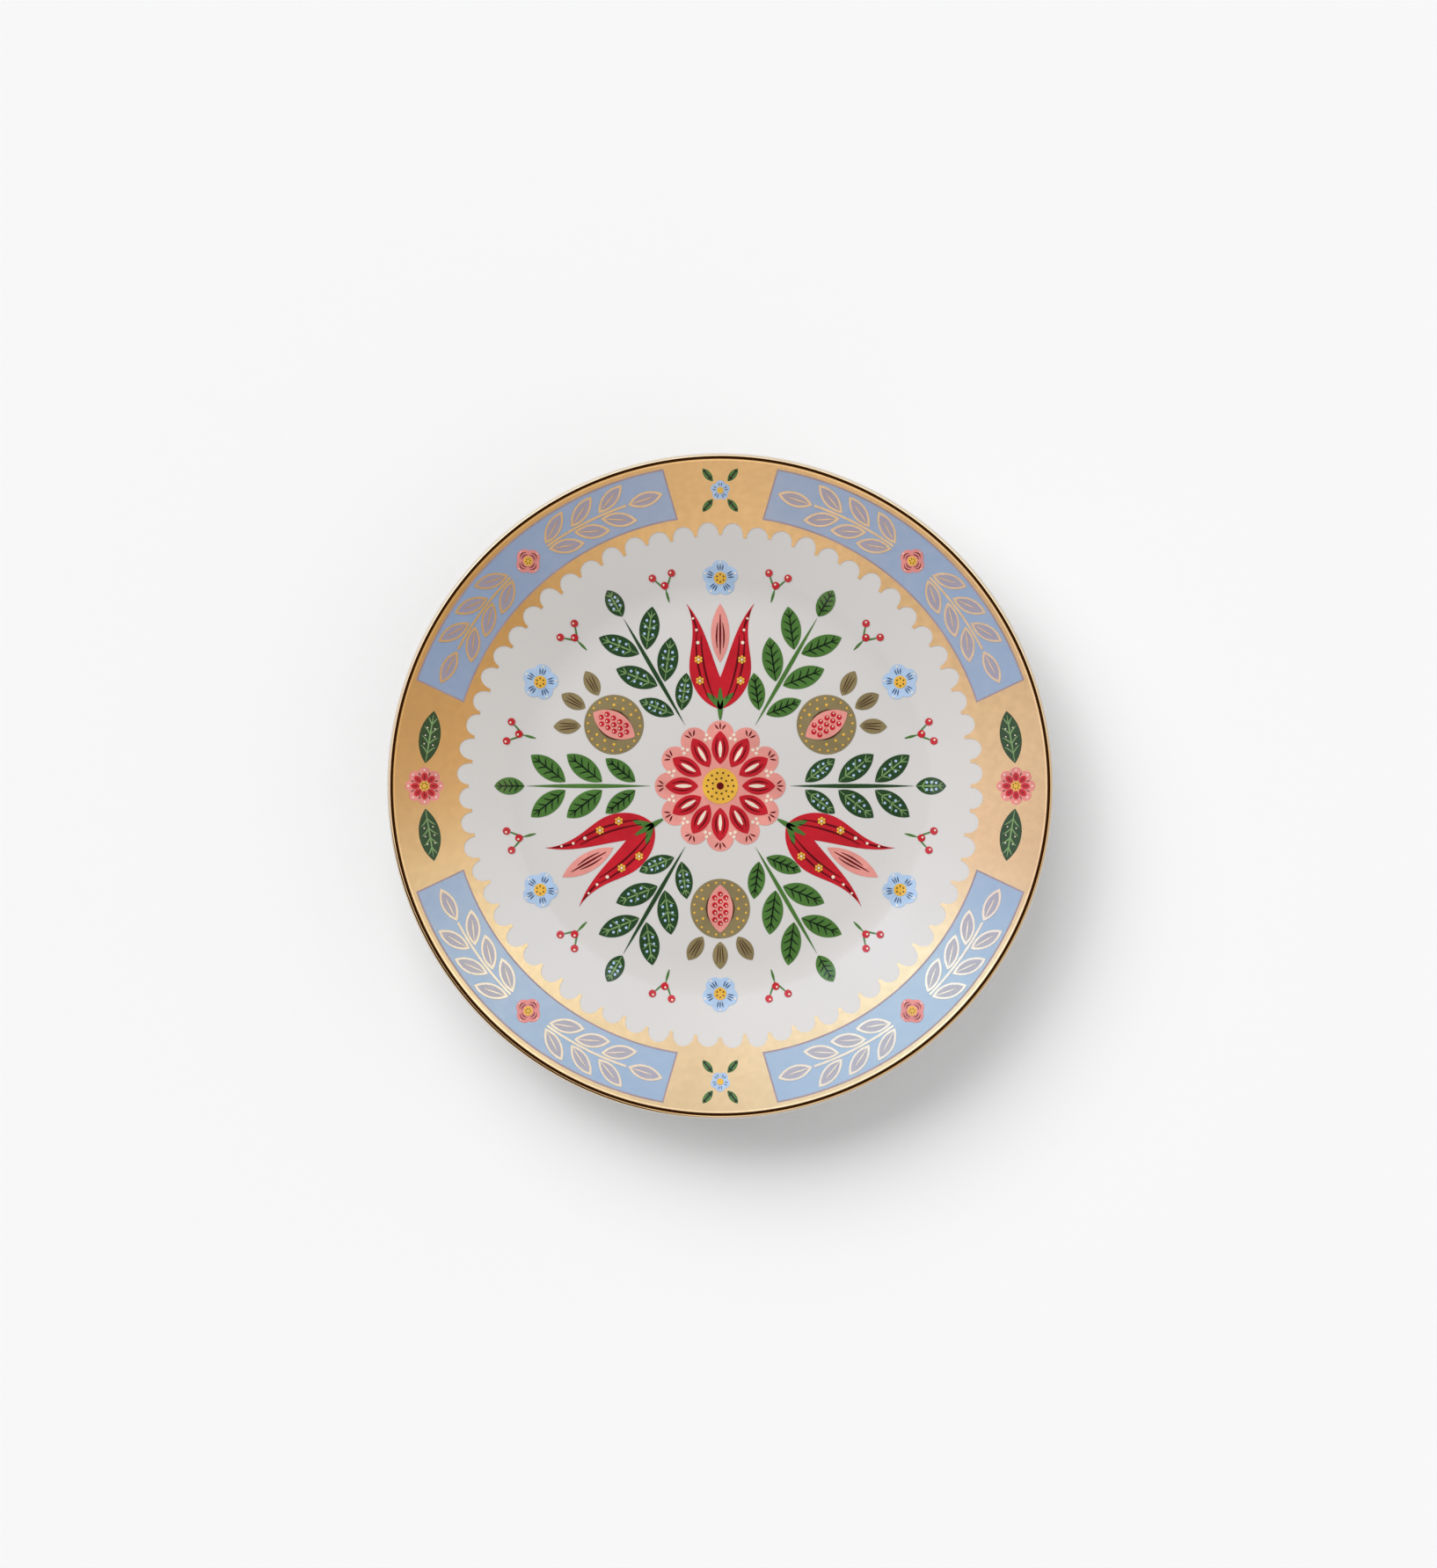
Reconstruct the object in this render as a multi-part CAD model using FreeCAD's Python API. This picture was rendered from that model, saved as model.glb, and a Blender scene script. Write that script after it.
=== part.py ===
"""Porcelain ring dish: a shallow round dish on a turned foot, gilded at the lip and decorated in enamel.

Millimetres, +Z up. The origin is the centre of the foot's standing plane.
Seen from above, +X is to the right and +Y is away from the user.
The fired decoration is a set of thin layers that lie on the porcelain and on each other.
"""

import FreeCAD
import Part
import os
from math import asin, atan2, cos, degrees, hypot, radians, sin

# Porcelain body
dish_diameter = 102.4
dish_height = 13.0
rim_width = 24.2
floor_height = 5.8
floor_thickness = 2.6
shoulder_radius = 18.0
lip_radius = 0.6
lip_under_radius = 2.4
foot_margin = 1.5
foot_width = 3.0
foot_fillet_radius = 0.6
foot_edge_radius = 0.4

# Thickness of one fired layer of enamel and of the brushed gold line
enamel_thickness = 0.06
gilding_thickness = 0.09
rim_line_width = 0.3
rim_wrap_angle = 25.0
rim_stroke_count = 16

# Gold border with its scalloped inner edge
scallop_count = 64
scallop_depth_share = 0.49
border_width = 12.7

# Enamel panels let into the border
panel_centre_angles = (49.5, 130.5, 229.5, 310.5)
panel_outer_half_angle = 30.3
panel_inner_half_angle = 31.5
panel_rim_margin = 1.65
panel_well_margin = 1.25
panel_gap = 0.1

# Height of the motifs on the rim: a panel's height, or a share of its half length where that is less
motif_length_share = 0.33

# Laurel garland, one half on each side of a panel's quatrefoil, in shares of the motif height
garland_pairs = 3
garland_start_share = 0.465
garland_pitch_share = 0.59
garland_stem_width_share = 0.044
laurel_length_share = 0.704
laurel_width_share = 0.277
laurel_line_width_share = 0.035
laurel_stand_off_share = 0.038
laurel_spread_angle = 26.0
quatrefoil_lobes = 4
quatrefoil_reach_share = 0.252
quatrefoil_heart_share = 0.088

# Ornaments on the gold between the panels, in shares of the motif height
side_angles = (0.0, 180.0)
side_rosette_lobes = 8
side_rosette_reach_share = 0.365
side_petal_length_share = 0.17
side_petal_width_share = 0.12
side_heart_share = 0.094
side_leaf_length_share = 1.03
side_leaf_width_share = 0.4
side_leaf_gap_share = 0.075
end_angles = (90.0, 270.0)
end_blossom_reach_share = 0.19
end_heart_share = 0.063
end_leaf_length_share = 0.314
end_leaf_width_share = 0.138
end_leaf_gap_share = 0.032
end_leaf_angles = (40.0, 140.0, 220.0, 320.0)
blossom_lobes = 5

# Roundel painted in the well; its places are shares of its radius
roundel_margin = 2.9
rosette_lobes = 12
rosette_reach_share = 0.285
rosette_petal_start_share = 0.095
rosette_petal_length_share = 0.145
rosette_petal_width_share = 0.075
rosette_heart_share = 0.078
tulip_angles = (90.0, 210.0, 330.0)
tulip_base_share = 0.335
tulip_length_share = 0.46
tulip_half_width_share = 0.148
tulip_wing_outer_shares = ((0, 0), (0.11, 0.56), (0.35, 0.90), (0.64, 0.83), (0.84, 0.84), (1.0, 1.0))
tulip_wing_inner_shares = ((1.0, 1.0), (0.78, 0.56), (0.56, 0.29), (0.30, 0))
tulip_cup_shares = (0.44, 1.0)
tulip_cup_half_width_share = 0.27
pomegranate_angles = (30.0, 150.0, 270.0)
pomegranate_centre_share = 0.535
pomegranate_radius_share = 0.13
pomegranate_seed_shares = (0.43, 0.64)
pomegranate_seed_width_share = 0.11
pomegranate_crown_gap_share = 0.014
pomegranate_crown_length_share = 0.12
pomegranate_crown_width_share = 0.066
pomegranate_crown_angles = (-32.0, 0.0, 32.0)
spray_angles = (0.0, 60.0, 120.0, 180.0, 240.0, 300.0)
spray_stem_shares = (0.305, 0.845)
spray_stem_width_share = 0.018
spray_pair_shares = (0.37, 0.515, 0.675)
spray_leaf_length_shares = (0.165, 0.195, 0.19)
spray_leaf_width_shares = (0.074, 0.09, 0.086)
spray_leaf_angle = 38.0
spray_leaf_stand_off_share = 0.018
spray_tip_length_share = 0.13
spray_tip_width_share = 0.075
spray_tip_gap_share = 0.008
ring_blossom_angles = (30.0, 90.0, 150.0, 210.0, 270.0, 330.0)
ring_blossom_centre_share = 0.905
ring_blossom_reach_share = 0.078
ring_heart_share = 0.027

# Shares that shape every leaf and flower outline
leaf_belly_share = 0.46
flower_notch_share = 0.80

# How far a cutting prism runs past what it cuts
overrun = 1.0

ORIGIN = FreeCAD.Vector(0, 0, 0)
UP = FreeCAD.Vector(0, 0, 1)
FULL_TURN = 360.0

# Values that follow from the driving dimensions
dish_radius = dish_diameter / 2
floor_radius = dish_radius - rim_width
foot_radius = floor_radius - foot_margin
foot_inner_radius = foot_radius - foot_width
under_height = floor_height - floor_thickness
cusp_radius = dish_radius - border_width
roundel_radius = cusp_radius - roundel_margin
scallop_pitch = cusp_radius * radians(FULL_TURN / scallop_count)
crest_radius = cusp_radius + scallop_pitch * scallop_depth_share
panel_inner_radius = crest_radius + panel_well_margin
panel_outer_radius = dish_radius - panel_rim_margin
panel_middle_radius = (panel_inner_radius + panel_outer_radius) / 2
panel_half_length = panel_middle_radius * radians(panel_outer_half_angle)

# Sizes of the motifs on the rim
motif_height = min(panel_outer_radius - panel_inner_radius, panel_half_length * motif_length_share)
garland_start = motif_height * garland_start_share
garland_pitch = motif_height * garland_pitch_share
garland_stem_width = motif_height * garland_stem_width_share
laurel_length = motif_height * laurel_length_share
laurel_width = motif_height * laurel_width_share
laurel_line_width = motif_height * laurel_line_width_share
laurel_stand_off = motif_height * laurel_stand_off_share
quatrefoil_reach = motif_height * quatrefoil_reach_share
quatrefoil_heart_radius = motif_height * quatrefoil_heart_share
side_rosette_reach = motif_height * side_rosette_reach_share
side_petal_length = motif_height * side_petal_length_share
side_petal_width = motif_height * side_petal_width_share
side_heart_radius = motif_height * side_heart_share
side_leaf_length = motif_height * side_leaf_length_share
side_leaf_width = motif_height * side_leaf_width_share
side_leaf_gap = motif_height * side_leaf_gap_share
end_blossom_reach = motif_height * end_blossom_reach_share
end_heart_radius = motif_height * end_heart_share
end_leaf_length = motif_height * end_leaf_length_share
end_leaf_width = motif_height * end_leaf_width_share
end_leaf_gap = motif_height * end_leaf_gap_share

# Centres of the section's arcs; the shoulder's underside is concentric with its top
shoulder_centre = FreeCAD.Vector(floor_radius, 0, floor_height + shoulder_radius)
lip_centre = FreeCAD.Vector(dish_radius - lip_radius, 0, dish_height - lip_radius)
lip_under_centre = FreeCAD.Vector(dish_radius - lip_under_radius, 0, lip_centre.z)
under_shoulder_radius = shoulder_radius + floor_thickness


def tangent_angle(start, end, reach):
    """Slope, in degrees, of the line whose distances from two centres differ or add up to reach."""
    step = end - start
    return degrees(atan2(step.z, step.x) + asin(reach / hypot(step.x, step.z)))


flange_angle = tangent_angle(shoulder_centre, lip_centre, shoulder_radius + lip_radius)
under_angle = tangent_angle(shoulder_centre, lip_under_centre, under_shoulder_radius - lip_under_radius)


def on_arc(centre, radius, angle):
    """Point of an arc in the section plane, with the angle counted from +X towards +Z."""
    return centre + FreeCAD.Vector(radius * cos(radians(angle)), 0, radius * sin(radians(angle)))


def in_plan(radius, angle):
    """Point on the ground plane at a distance and a direction from the dish's axis."""
    return FreeCAD.Vector(radius * cos(radians(angle)), radius * sin(radians(angle)), 0)


def line(start, end):
    return Part.LineSegment(start, end).toShape()


def arc(start, middle, end):
    return Part.Arc(start, middle, end).toShape()


def curve(points):
    """Smooth curve through points."""
    spline = Part.BSplineCurve()
    spline.interpolate(points)
    return spline.toShape()


def section_arc(centre, radius, start_angle, end_angle):
    middle_angle = (start_angle + end_angle) / 2
    return arc(
        on_arc(centre, radius, start_angle),
        on_arc(centre, radius, middle_angle),
        on_arc(centre, radius, end_angle),
    )


def joined(edges):
    """Planar face inside a chain of edges."""
    return Part.Face(Part.Wire(Part.__sortEdges__(edges)))


def rounded_corner(corner, before, after, radius):
    """Quarter arc that rounds a square corner; returns its start, its edge and its end."""
    start = corner + before * radius
    end = corner + after * radius
    centre = corner + (before + after) * radius
    middle = centre + (corner - centre).normalize() * radius
    return start, arc(start, middle, end), end


# Porcelain body


def body_section():
    """Half section of the dish: floor, shoulder, flange, rounded lip, underside and foot."""
    inward = FreeCAD.Vector(-1, 0, 0)
    outward = FreeCAD.Vector(1, 0, 0)
    axis_top = FreeCAD.Vector(0, 0, floor_height)
    axis_bottom = FreeCAD.Vector(0, 0, under_height)
    shoulder_start = on_arc(shoulder_centre, shoulder_radius, -90)
    shoulder_end = on_arc(shoulder_centre, shoulder_radius, flange_angle - 90)
    lip_start = on_arc(lip_centre, lip_radius, flange_angle + 90)
    lip_under_end = on_arc(lip_under_centre, lip_under_radius, under_angle - 90)
    under_shoulder_end = on_arc(shoulder_centre, under_shoulder_radius, under_angle - 90)
    under_shoulder_start = on_arc(shoulder_centre, under_shoulder_radius, -90)

    neck = FreeCAD.Vector(foot_radius, 0, under_height)
    neck_start, neck_arc, neck_end = rounded_corner(neck, outward, -UP, foot_fillet_radius)
    toe = FreeCAD.Vector(foot_radius, 0, 0)
    toe_start, toe_arc, toe_end = rounded_corner(toe, UP, inward, foot_edge_radius)
    heel = FreeCAD.Vector(foot_inner_radius, 0, 0)
    heel_start, heel_arc, heel_end = rounded_corner(heel, outward, UP, foot_edge_radius)
    vault = FreeCAD.Vector(foot_inner_radius, 0, under_height)
    vault_start, vault_arc, vault_end = rounded_corner(vault, -UP, inward, foot_fillet_radius)

    return joined([
        line(axis_bottom, axis_top),
        line(axis_top, shoulder_start),
        section_arc(shoulder_centre, shoulder_radius, -90, flange_angle - 90),
        line(shoulder_end, lip_start),
        section_arc(lip_centre, lip_radius, flange_angle + 90, 0),
        section_arc(lip_under_centre, lip_under_radius, 0, under_angle - 90),
        line(lip_under_end, under_shoulder_end),
        section_arc(shoulder_centre, under_shoulder_radius, under_angle - 90, -90),
        line(under_shoulder_start, neck_start),
        neck_arc,
        line(neck_end, toe_start),
        toe_arc,
        line(toe_end, heel_start),
        heel_arc,
        line(heel_end, vault_start),
        vault_arc,
        line(vault_end, axis_bottom),
    ])


def porcelain_body():
    return [body_section().revolve(ORIGIN, UP, FULL_TURN)]


# Fired layers that follow the floor, the shoulder and the flange


def flange_point(back, rise):
    """Point at a distance back from the lip along the flange, and at a rise above its surface."""
    start = on_arc(lip_centre, lip_radius + rise, flange_angle + 90)
    return start - on_arc(ORIGIN, back, flange_angle)


def layer_rises(level):
    """Heights of a layer's lower and upper surface above the glaze."""
    low = level * enamel_thickness
    return low, low + enamel_thickness


def layer_section(level, start_radius):
    """Section of one enamel layer, from a place on the floor over the shoulder and up to the gold line."""
    low, high = layer_rises(level)
    low_radius = shoulder_radius - low
    high_radius = shoulder_radius - high
    head_angle = flange_angle - 90
    low_start = FreeCAD.Vector(start_radius, 0, floor_height + low)
    high_start = FreeCAD.Vector(start_radius, 0, floor_height + high)
    low_rim = flange_point(rim_line_width, low)
    high_rim = flange_point(rim_line_width, high)
    return joined([
        line(low_start, on_arc(shoulder_centre, low_radius, -90)),
        section_arc(shoulder_centre, low_radius, -90, head_angle),
        line(on_arc(shoulder_centre, low_radius, head_angle), low_rim),
        line(low_rim, high_rim),
        line(high_rim, on_arc(shoulder_centre, high_radius, head_angle)),
        section_arc(shoulder_centre, high_radius, head_angle, -90),
        line(on_arc(shoulder_centre, high_radius, -90), high_start),
        line(high_start, low_start),
    ])


def well_layer(level):
    """One enamel layer over the whole well."""
    return layer_section(level, 0).revolve(ORIGIN, UP, FULL_TURN)


def flange_layer(level, half_angle):
    """Part of a layer to each side of +X, as wide as the rim ornament that is cut from it."""
    section = layer_section(level, floor_radius - overrun)
    section.rotate(ORIGIN, UP, -half_angle)
    return section.revolve(ORIGIN, UP, 2 * half_angle)


def standing_prism(face):
    return face.extrude(UP * (dish_height + overrun))


def draped(layer, faces):
    """Solids cut from a layer by plan outlines."""
    prisms = Part.makeCompound([standing_prism(face) for face in faces])
    return layer.common(prisms).Solids


def turned(solids, angle):
    """Copies of solids turned about the dish's axis."""
    copies = [solid.copy() for solid in solids]
    for copy in copies:
        copy.rotate(ORIGIN, UP, angle)
    return copies


# Plan outlines


def leaf_face(base, tip, width):
    """Almond leaf between two points, fullest a little before its middle."""
    along = tip - base
    across = FreeCAD.Vector(-along.y, along.x, 0).normalize() * (width / 2)
    belly = base + along * leaf_belly_share
    return joined([arc(base, belly + across, tip), arc(tip, belly - across, base)])


def flower_face(centre, reach, lobes, first_angle):
    """Flower outline of round lobes; a notch lies half a step after each lobe's crest."""
    step = FULL_TURN / lobes
    notch = reach * flower_notch_share
    edges = []
    for lobe in range(lobes):
        crest_angle = first_angle + lobe * step
        edges.append(arc(
            centre + in_plan(notch, crest_angle - step / 2),
            centre + in_plan(reach, crest_angle),
            centre + in_plan(notch, crest_angle + step / 2),
        ))
    return joined(edges)


def disc_face(centre, radius):
    return Part.Face(Part.Wire(Part.makeCircle(radius, centre, UP)))


def petal_faces(centre, start, length, width, count, first_angle):
    """Ring of almond petals about a centre."""
    faces = []
    for petal in range(count):
        angle = first_angle + petal * FULL_TURN / count
        faces.append(leaf_face(
            centre + in_plan(start, angle), centre + in_plan(start + length, angle), width
        ))
    return faces


# Gilding


def rim_section():
    """Section of the brushed gold line over the lip, from the flange round to the outside."""
    rise = gilding_thickness
    wrap = -rim_wrap_angle
    return joined([
        line(flange_point(rim_line_width, 0), flange_point(rim_line_width, rise)),
        line(flange_point(rim_line_width, rise), flange_point(0, rise)),
        section_arc(lip_centre, lip_radius + rise, flange_angle + 90, 0),
        section_arc(lip_under_centre, lip_under_radius + rise, 0, wrap),
        line(
            on_arc(lip_under_centre, lip_under_radius + rise, wrap),
            on_arc(lip_under_centre, lip_under_radius, wrap),
        ),
        section_arc(lip_under_centre, lip_under_radius, wrap, 0),
        section_arc(lip_centre, lip_radius, 0, flange_angle + 90),
        line(flange_point(0, 0), flange_point(rim_line_width, 0)),
    ])


def rim_gilding():
    """Gold line laid on in strokes that run together into one ring."""
    stroke_angle = FULL_TURN / rim_stroke_count
    stroke = rim_section().revolve(ORIGIN, UP, stroke_angle)
    strokes = []
    for number in range(rim_stroke_count):
        strokes += turned([stroke], number * stroke_angle)
    return strokes[0].fuse(strokes[1:]).Solids


def panel_face(grow):
    """Enamel panel centred on +X, made larger all round by grow."""
    outer = panel_outer_radius + grow
    inner = panel_inner_radius - grow
    outer_angle = panel_outer_half_angle + degrees(grow / outer)
    inner_angle = panel_inner_half_angle + degrees(grow / inner)
    return joined([
        arc(in_plan(outer, -outer_angle), in_plan(outer, 0), in_plan(outer, outer_angle)),
        line(in_plan(outer, outer_angle), in_plan(inner, inner_angle)),
        arc(in_plan(inner, inner_angle), in_plan(inner, 0), in_plan(inner, -inner_angle)),
        line(in_plan(inner, -inner_angle), in_plan(outer, -outer_angle)),
    ])


def gold_border():
    """Gold band with a scalloped inner edge and a window for each panel."""
    step = FULL_TURN / scallop_count
    scallops = []
    for scallop in range(scallop_count):
        start = scallop * step
        scallops.append(arc(
            in_plan(cusp_radius, start),
            in_plan(crest_radius, start + step / 2),
            in_plan(cusp_radius, start + step),
        ))
    field = standing_prism(joined(scallops))
    windows = []
    for angle in panel_centre_angles:
        windows += turned([standing_prism(panel_face(panel_gap))], angle)
    ring = layer_section(0, floor_radius - overrun).revolve(ORIGIN, UP, FULL_TURN)
    return ring.cut([field, *windows]).Solids


# Panels and their garlands


def garland_leaves():
    """Base and tip of each laurel leaf of one half garland, along the panel's middle circle."""
    leaves = []
    for side in (-1, 1):
        base_radius = panel_middle_radius + side * (garland_stem_width / 2 + laurel_stand_off)
        for pair in range(garland_pairs):
            base_angle = degrees((garland_start + pair * garland_pitch) / panel_middle_radius)
            base = in_plan(base_radius, base_angle)
            heading = base_angle + 90 - side * laurel_spread_angle
            leaves.append((base, base + in_plan(laurel_length, heading)))
    tip_angle = degrees((garland_start + garland_pairs * garland_pitch) / panel_middle_radius)
    tip_base = in_plan(panel_middle_radius, tip_angle)
    leaves.append((tip_base, tip_base + in_plan(laurel_length, tip_angle + 90)))
    return leaves


def garland_stem_face():
    """Stem of one half garland, between the quatrefoil and the last leaf."""
    inner = panel_middle_radius - garland_stem_width / 2
    outer = panel_middle_radius + garland_stem_width / 2
    start = degrees(garland_start / panel_middle_radius)
    reach = garland_start + garland_pairs * garland_pitch - laurel_stand_off
    end = degrees(reach / panel_middle_radius)
    middle = (start + end) / 2
    return joined([
        arc(in_plan(outer, start), in_plan(outer, middle), in_plan(outer, end)),
        line(in_plan(outer, end), in_plan(inner, end)),
        arc(in_plan(inner, end), in_plan(inner, middle), in_plan(inner, start)),
        line(in_plan(inner, start), in_plan(outer, start)),
    ])


def mirrored(faces):
    """Plan faces together with their images across the X axis."""
    return faces + [face.mirror(ORIGIN, FreeCAD.Vector(0, 1, 0)) for face in faces]


def inner_leaf_face(base, tip):
    """What a laurel leaf's gold outline leaves for its enamel."""
    inset = (tip - base).normalize() * (2 * laurel_line_width)
    return leaf_face(base + inset, tip - inset, laurel_width - 2 * laurel_line_width)


def laurel_faces():
    """Gold outlines with stems, and the enamel inside the leaves, for a panel centred on +X."""
    outlines = [garland_stem_face()]
    fills = []
    for base, tip in garland_leaves():
        fill = inner_leaf_face(base, tip)
        outlines.append(leaf_face(base, tip, laurel_width).cut(fill))
        fills.append(fill)
    return mirrored(outlines), mirrored(fills)


def panel_pieces():
    """Solids of each kind on a panel centred on +X."""
    half_angle = panel_inner_half_angle
    panel_layer = flange_layer(0, half_angle + degrees(overrun / panel_inner_radius))
    painted_layer = flange_layer(1, half_angle)
    heart_layer = flange_layer(2, half_angle)
    outlines, fills = laurel_faces()
    centre = in_plan(panel_middle_radius, 0)
    quatrefoil = flower_face(centre, quatrefoil_reach, quatrefoil_lobes, 0)
    return {
        "blue_panel": draped(panel_layer, [panel_face(0)]),
        "laurel_outline": draped(painted_layer, outlines),
        "laurel_leaf": draped(painted_layer, fills),
        "quatrefoil": draped(painted_layer, [quatrefoil]),
        "quatrefoil_hearts": draped(heart_layer, [disc_face(centre, quatrefoil_heart_radius)]),
    }


# Ornaments on the gold between the panels


def side_faces():
    """Rosette with a leaf to each side, on the wide stretches of gold."""
    centre = in_plan(panel_middle_radius, 0)
    leaf_start = side_rosette_reach + side_leaf_gap
    leaf_end = leaf_start + side_leaf_length
    base = in_plan(panel_middle_radius, degrees(leaf_start / panel_middle_radius))
    tip = in_plan(panel_middle_radius, degrees(leaf_end / panel_middle_radius))
    petals = petal_faces(
        centre, side_heart_radius, side_petal_length, side_petal_width, side_rosette_lobes, 0
    )
    return {
        "side_rosette": [flower_face(centre, side_rosette_reach, side_rosette_lobes, 0)],
        "side_leaves": mirrored([leaf_face(base, tip, side_leaf_width)]),
        "side_petals": petals,
        "ornament_hearts": [disc_face(centre, side_heart_radius)],
    }


def end_faces():
    """Blossom with four small leaves, on the narrow stretches of gold."""
    centre = in_plan(panel_middle_radius, 0)
    start = end_blossom_reach + end_leaf_gap
    leaves = []
    for angle in end_leaf_angles:
        base = centre + in_plan(start, angle)
        leaves.append(leaf_face(base, base + in_plan(end_leaf_length, angle), end_leaf_width))
    return {
        "end_blossom": [flower_face(centre, end_blossom_reach, blossom_lobes, 0)],
        "end_leaves": leaves,
        "ornament_hearts": [disc_face(centre, end_heart_radius)],
    }


def ornament_pieces(faces):
    """Solids of an ornament centred on +X; petals and hearts lie on the ornament's own flower."""
    half_angle = panel_centre_angles[0] - panel_inner_half_angle
    gold_layer = flange_layer(1, half_angle)
    flower_layer = flange_layer(2, half_angle)
    pieces = {}
    for name in faces:
        layer = flower_layer if name.endswith(("petals", "hearts")) else gold_layer
        pieces[name] = draped(layer, faces[name])
    return pieces


# Roundel in the well


def centre_rosette(ground, second):
    """Scalloped rosette with a ring of petals and a heart lying on it."""
    petals = petal_faces(
        ORIGIN,
        roundel_radius * rosette_petal_start_share,
        roundel_radius * rosette_petal_length_share,
        roundel_radius * rosette_petal_width_share,
        rosette_lobes,
        0,
    )
    disc = flower_face(ORIGIN, roundel_radius * rosette_reach_share, rosette_lobes, 0)
    return {
        "centre_rosette": draped(ground, [disc]),
        "centre_petals": draped(second, petals),
        "centre_heart": draped(second, [disc_face(ORIGIN, roundel_radius * rosette_heart_share)]),
    }


def tulip(ground):
    """Tulip on +X with its cup between two flaring wings."""
    base = roundel_radius * tulip_base_share
    length = roundel_radius * tulip_length_share
    half_width = roundel_radius * tulip_half_width_share

    def place(shares):
        return FreeCAD.Vector(base + length * shares[0], half_width * shares[1], 0)

    outer = [place(shares) for shares in tulip_wing_outer_shares]
    inner = [place(shares) for shares in tulip_wing_inner_shares]
    wing = joined([curve(outer), curve(inner), line(inner[-1], outer[0])])
    cup_start, cup_end = (place((share, 0)) for share in tulip_cup_shares)
    cup = leaf_face(cup_start, cup_end, 2 * half_width * tulip_cup_half_width_share)
    return {"tulip_wings": draped(ground, mirrored([wing])), "tulip_cup": draped(ground, [cup])}


def pomegranate(ground, second):
    """Round fruit on +X with a crown of three points and a slit that shows its seeds."""
    centre = in_plan(roundel_radius * pomegranate_centre_share, 0)
    radius = roundel_radius * pomegranate_radius_share
    crown_start = radius + roundel_radius * pomegranate_crown_gap_share
    crown_length = roundel_radius * pomegranate_crown_length_share
    crown_width = roundel_radius * pomegranate_crown_width_share
    faces = [disc_face(centre, radius)]
    for angle in pomegranate_crown_angles:
        base = centre + in_plan(crown_start, angle)
        faces.append(leaf_face(base, base + in_plan(crown_length, angle), crown_width))
    slit_start, slit_end = (in_plan(roundel_radius * share, 0) for share in pomegranate_seed_shares)
    slit = leaf_face(slit_start, slit_end, roundel_radius * pomegranate_seed_width_share)
    return {"pomegranate": draped(ground, faces), "pomegranate_seeds": draped(second, [slit])}


def leaf_spray(ground):
    """Straight stem on +X with pairs of leaves and a leaf at its tip."""
    stem_start, stem_end = (roundel_radius * share for share in spray_stem_shares)
    stem_width = roundel_radius * spray_stem_width_share
    stand_off = roundel_radius * spray_leaf_stand_off_share
    stem = leaf_face(in_plan(stem_start, 0), in_plan(stem_end, 0), stem_width)
    pairs = []
    for place, length, width in zip(
        spray_pair_shares, spray_leaf_length_shares, spray_leaf_width_shares
    ):
        base = FreeCAD.Vector(roundel_radius * place, stand_off, 0)
        tip = base + in_plan(roundel_radius * length, spray_leaf_angle)
        pairs.append(leaf_face(base, tip, roundel_radius * width))
    tip_start = stem_end + roundel_radius * spray_tip_gap_share
    tip_end = tip_start + roundel_radius * spray_tip_length_share
    tip_leaf = leaf_face(
        in_plan(tip_start, 0), in_plan(tip_end, 0), roundel_radius * spray_tip_width_share
    )
    return {"leaf_spray": draped(ground, [stem, tip_leaf, *mirrored(pairs)])}


def ring_blossom(ground, second):
    """Small blossom with its heart, near the roundel's edge on +X."""
    centre = in_plan(roundel_radius * ring_blossom_centre_share, 0)
    blossom = flower_face(centre, roundel_radius * ring_blossom_reach_share, blossom_lobes, 0)
    heart = disc_face(centre, roundel_radius * ring_heart_share)
    return {"ring_blossom": draped(ground, [blossom]), "ring_hearts": draped(second, [heart])}


# Assembly


def add_repeats(nodes, pieces, angles):
    """One node for each kind and angle; flower hearts of a kind share one node."""
    for name, solids in pieces.items():
        for number, angle in enumerate(angles, 1):
            node = name if name.endswith("hearts") else f"{name}_{number}"
            nodes.setdefault(node, []).extend(turned(solids, angle))


def dish_nodes():
    """Every sub-part by name, each as a list of closed solids."""
    nodes = {
        "porcelain_body": porcelain_body(),
        "rim_gilding": rim_gilding(),
        "gold_border": gold_border(),
    }
    ground = well_layer(0)
    second = well_layer(1)
    nodes.update(centre_rosette(ground, second))
    add_repeats(nodes, panel_pieces(), panel_centre_angles)
    add_repeats(nodes, ornament_pieces(side_faces()), side_angles)
    add_repeats(nodes, ornament_pieces(end_faces()), end_angles)
    add_repeats(nodes, tulip(ground), tulip_angles)
    add_repeats(nodes, pomegranate(ground, second), pomegranate_angles)
    add_repeats(nodes, leaf_spray(ground), spray_angles)
    add_repeats(nodes, ring_blossom(ground, second), ring_blossom_angles)
    return nodes


def write_parts():
    os.makedirs("parts", exist_ok=True)
    for name, solids in dish_nodes().items():
        shape = solids[0] if len(solids) == 1 else Part.makeCompound(solids)
        shape.exportStep(os.path.join("parts", f"{name}.step"))
        print(f"{name}: {len(solids)} solid(s), {shape.Volume:.3f} mm3, valid {shape.isValid()}")
    print(f"flange slope {flange_angle:.1f} degrees, underside slope {under_angle:.1f} degrees")


write_parts()
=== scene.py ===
"""Ring dish: smooth porcelain, gilding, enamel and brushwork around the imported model.

Metres, +Z up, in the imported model's own frame. Laid out as an add-on and run as a script.
"""

import math

import bmesh
import bpy
from mathutils import Matrix, Vector


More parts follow.
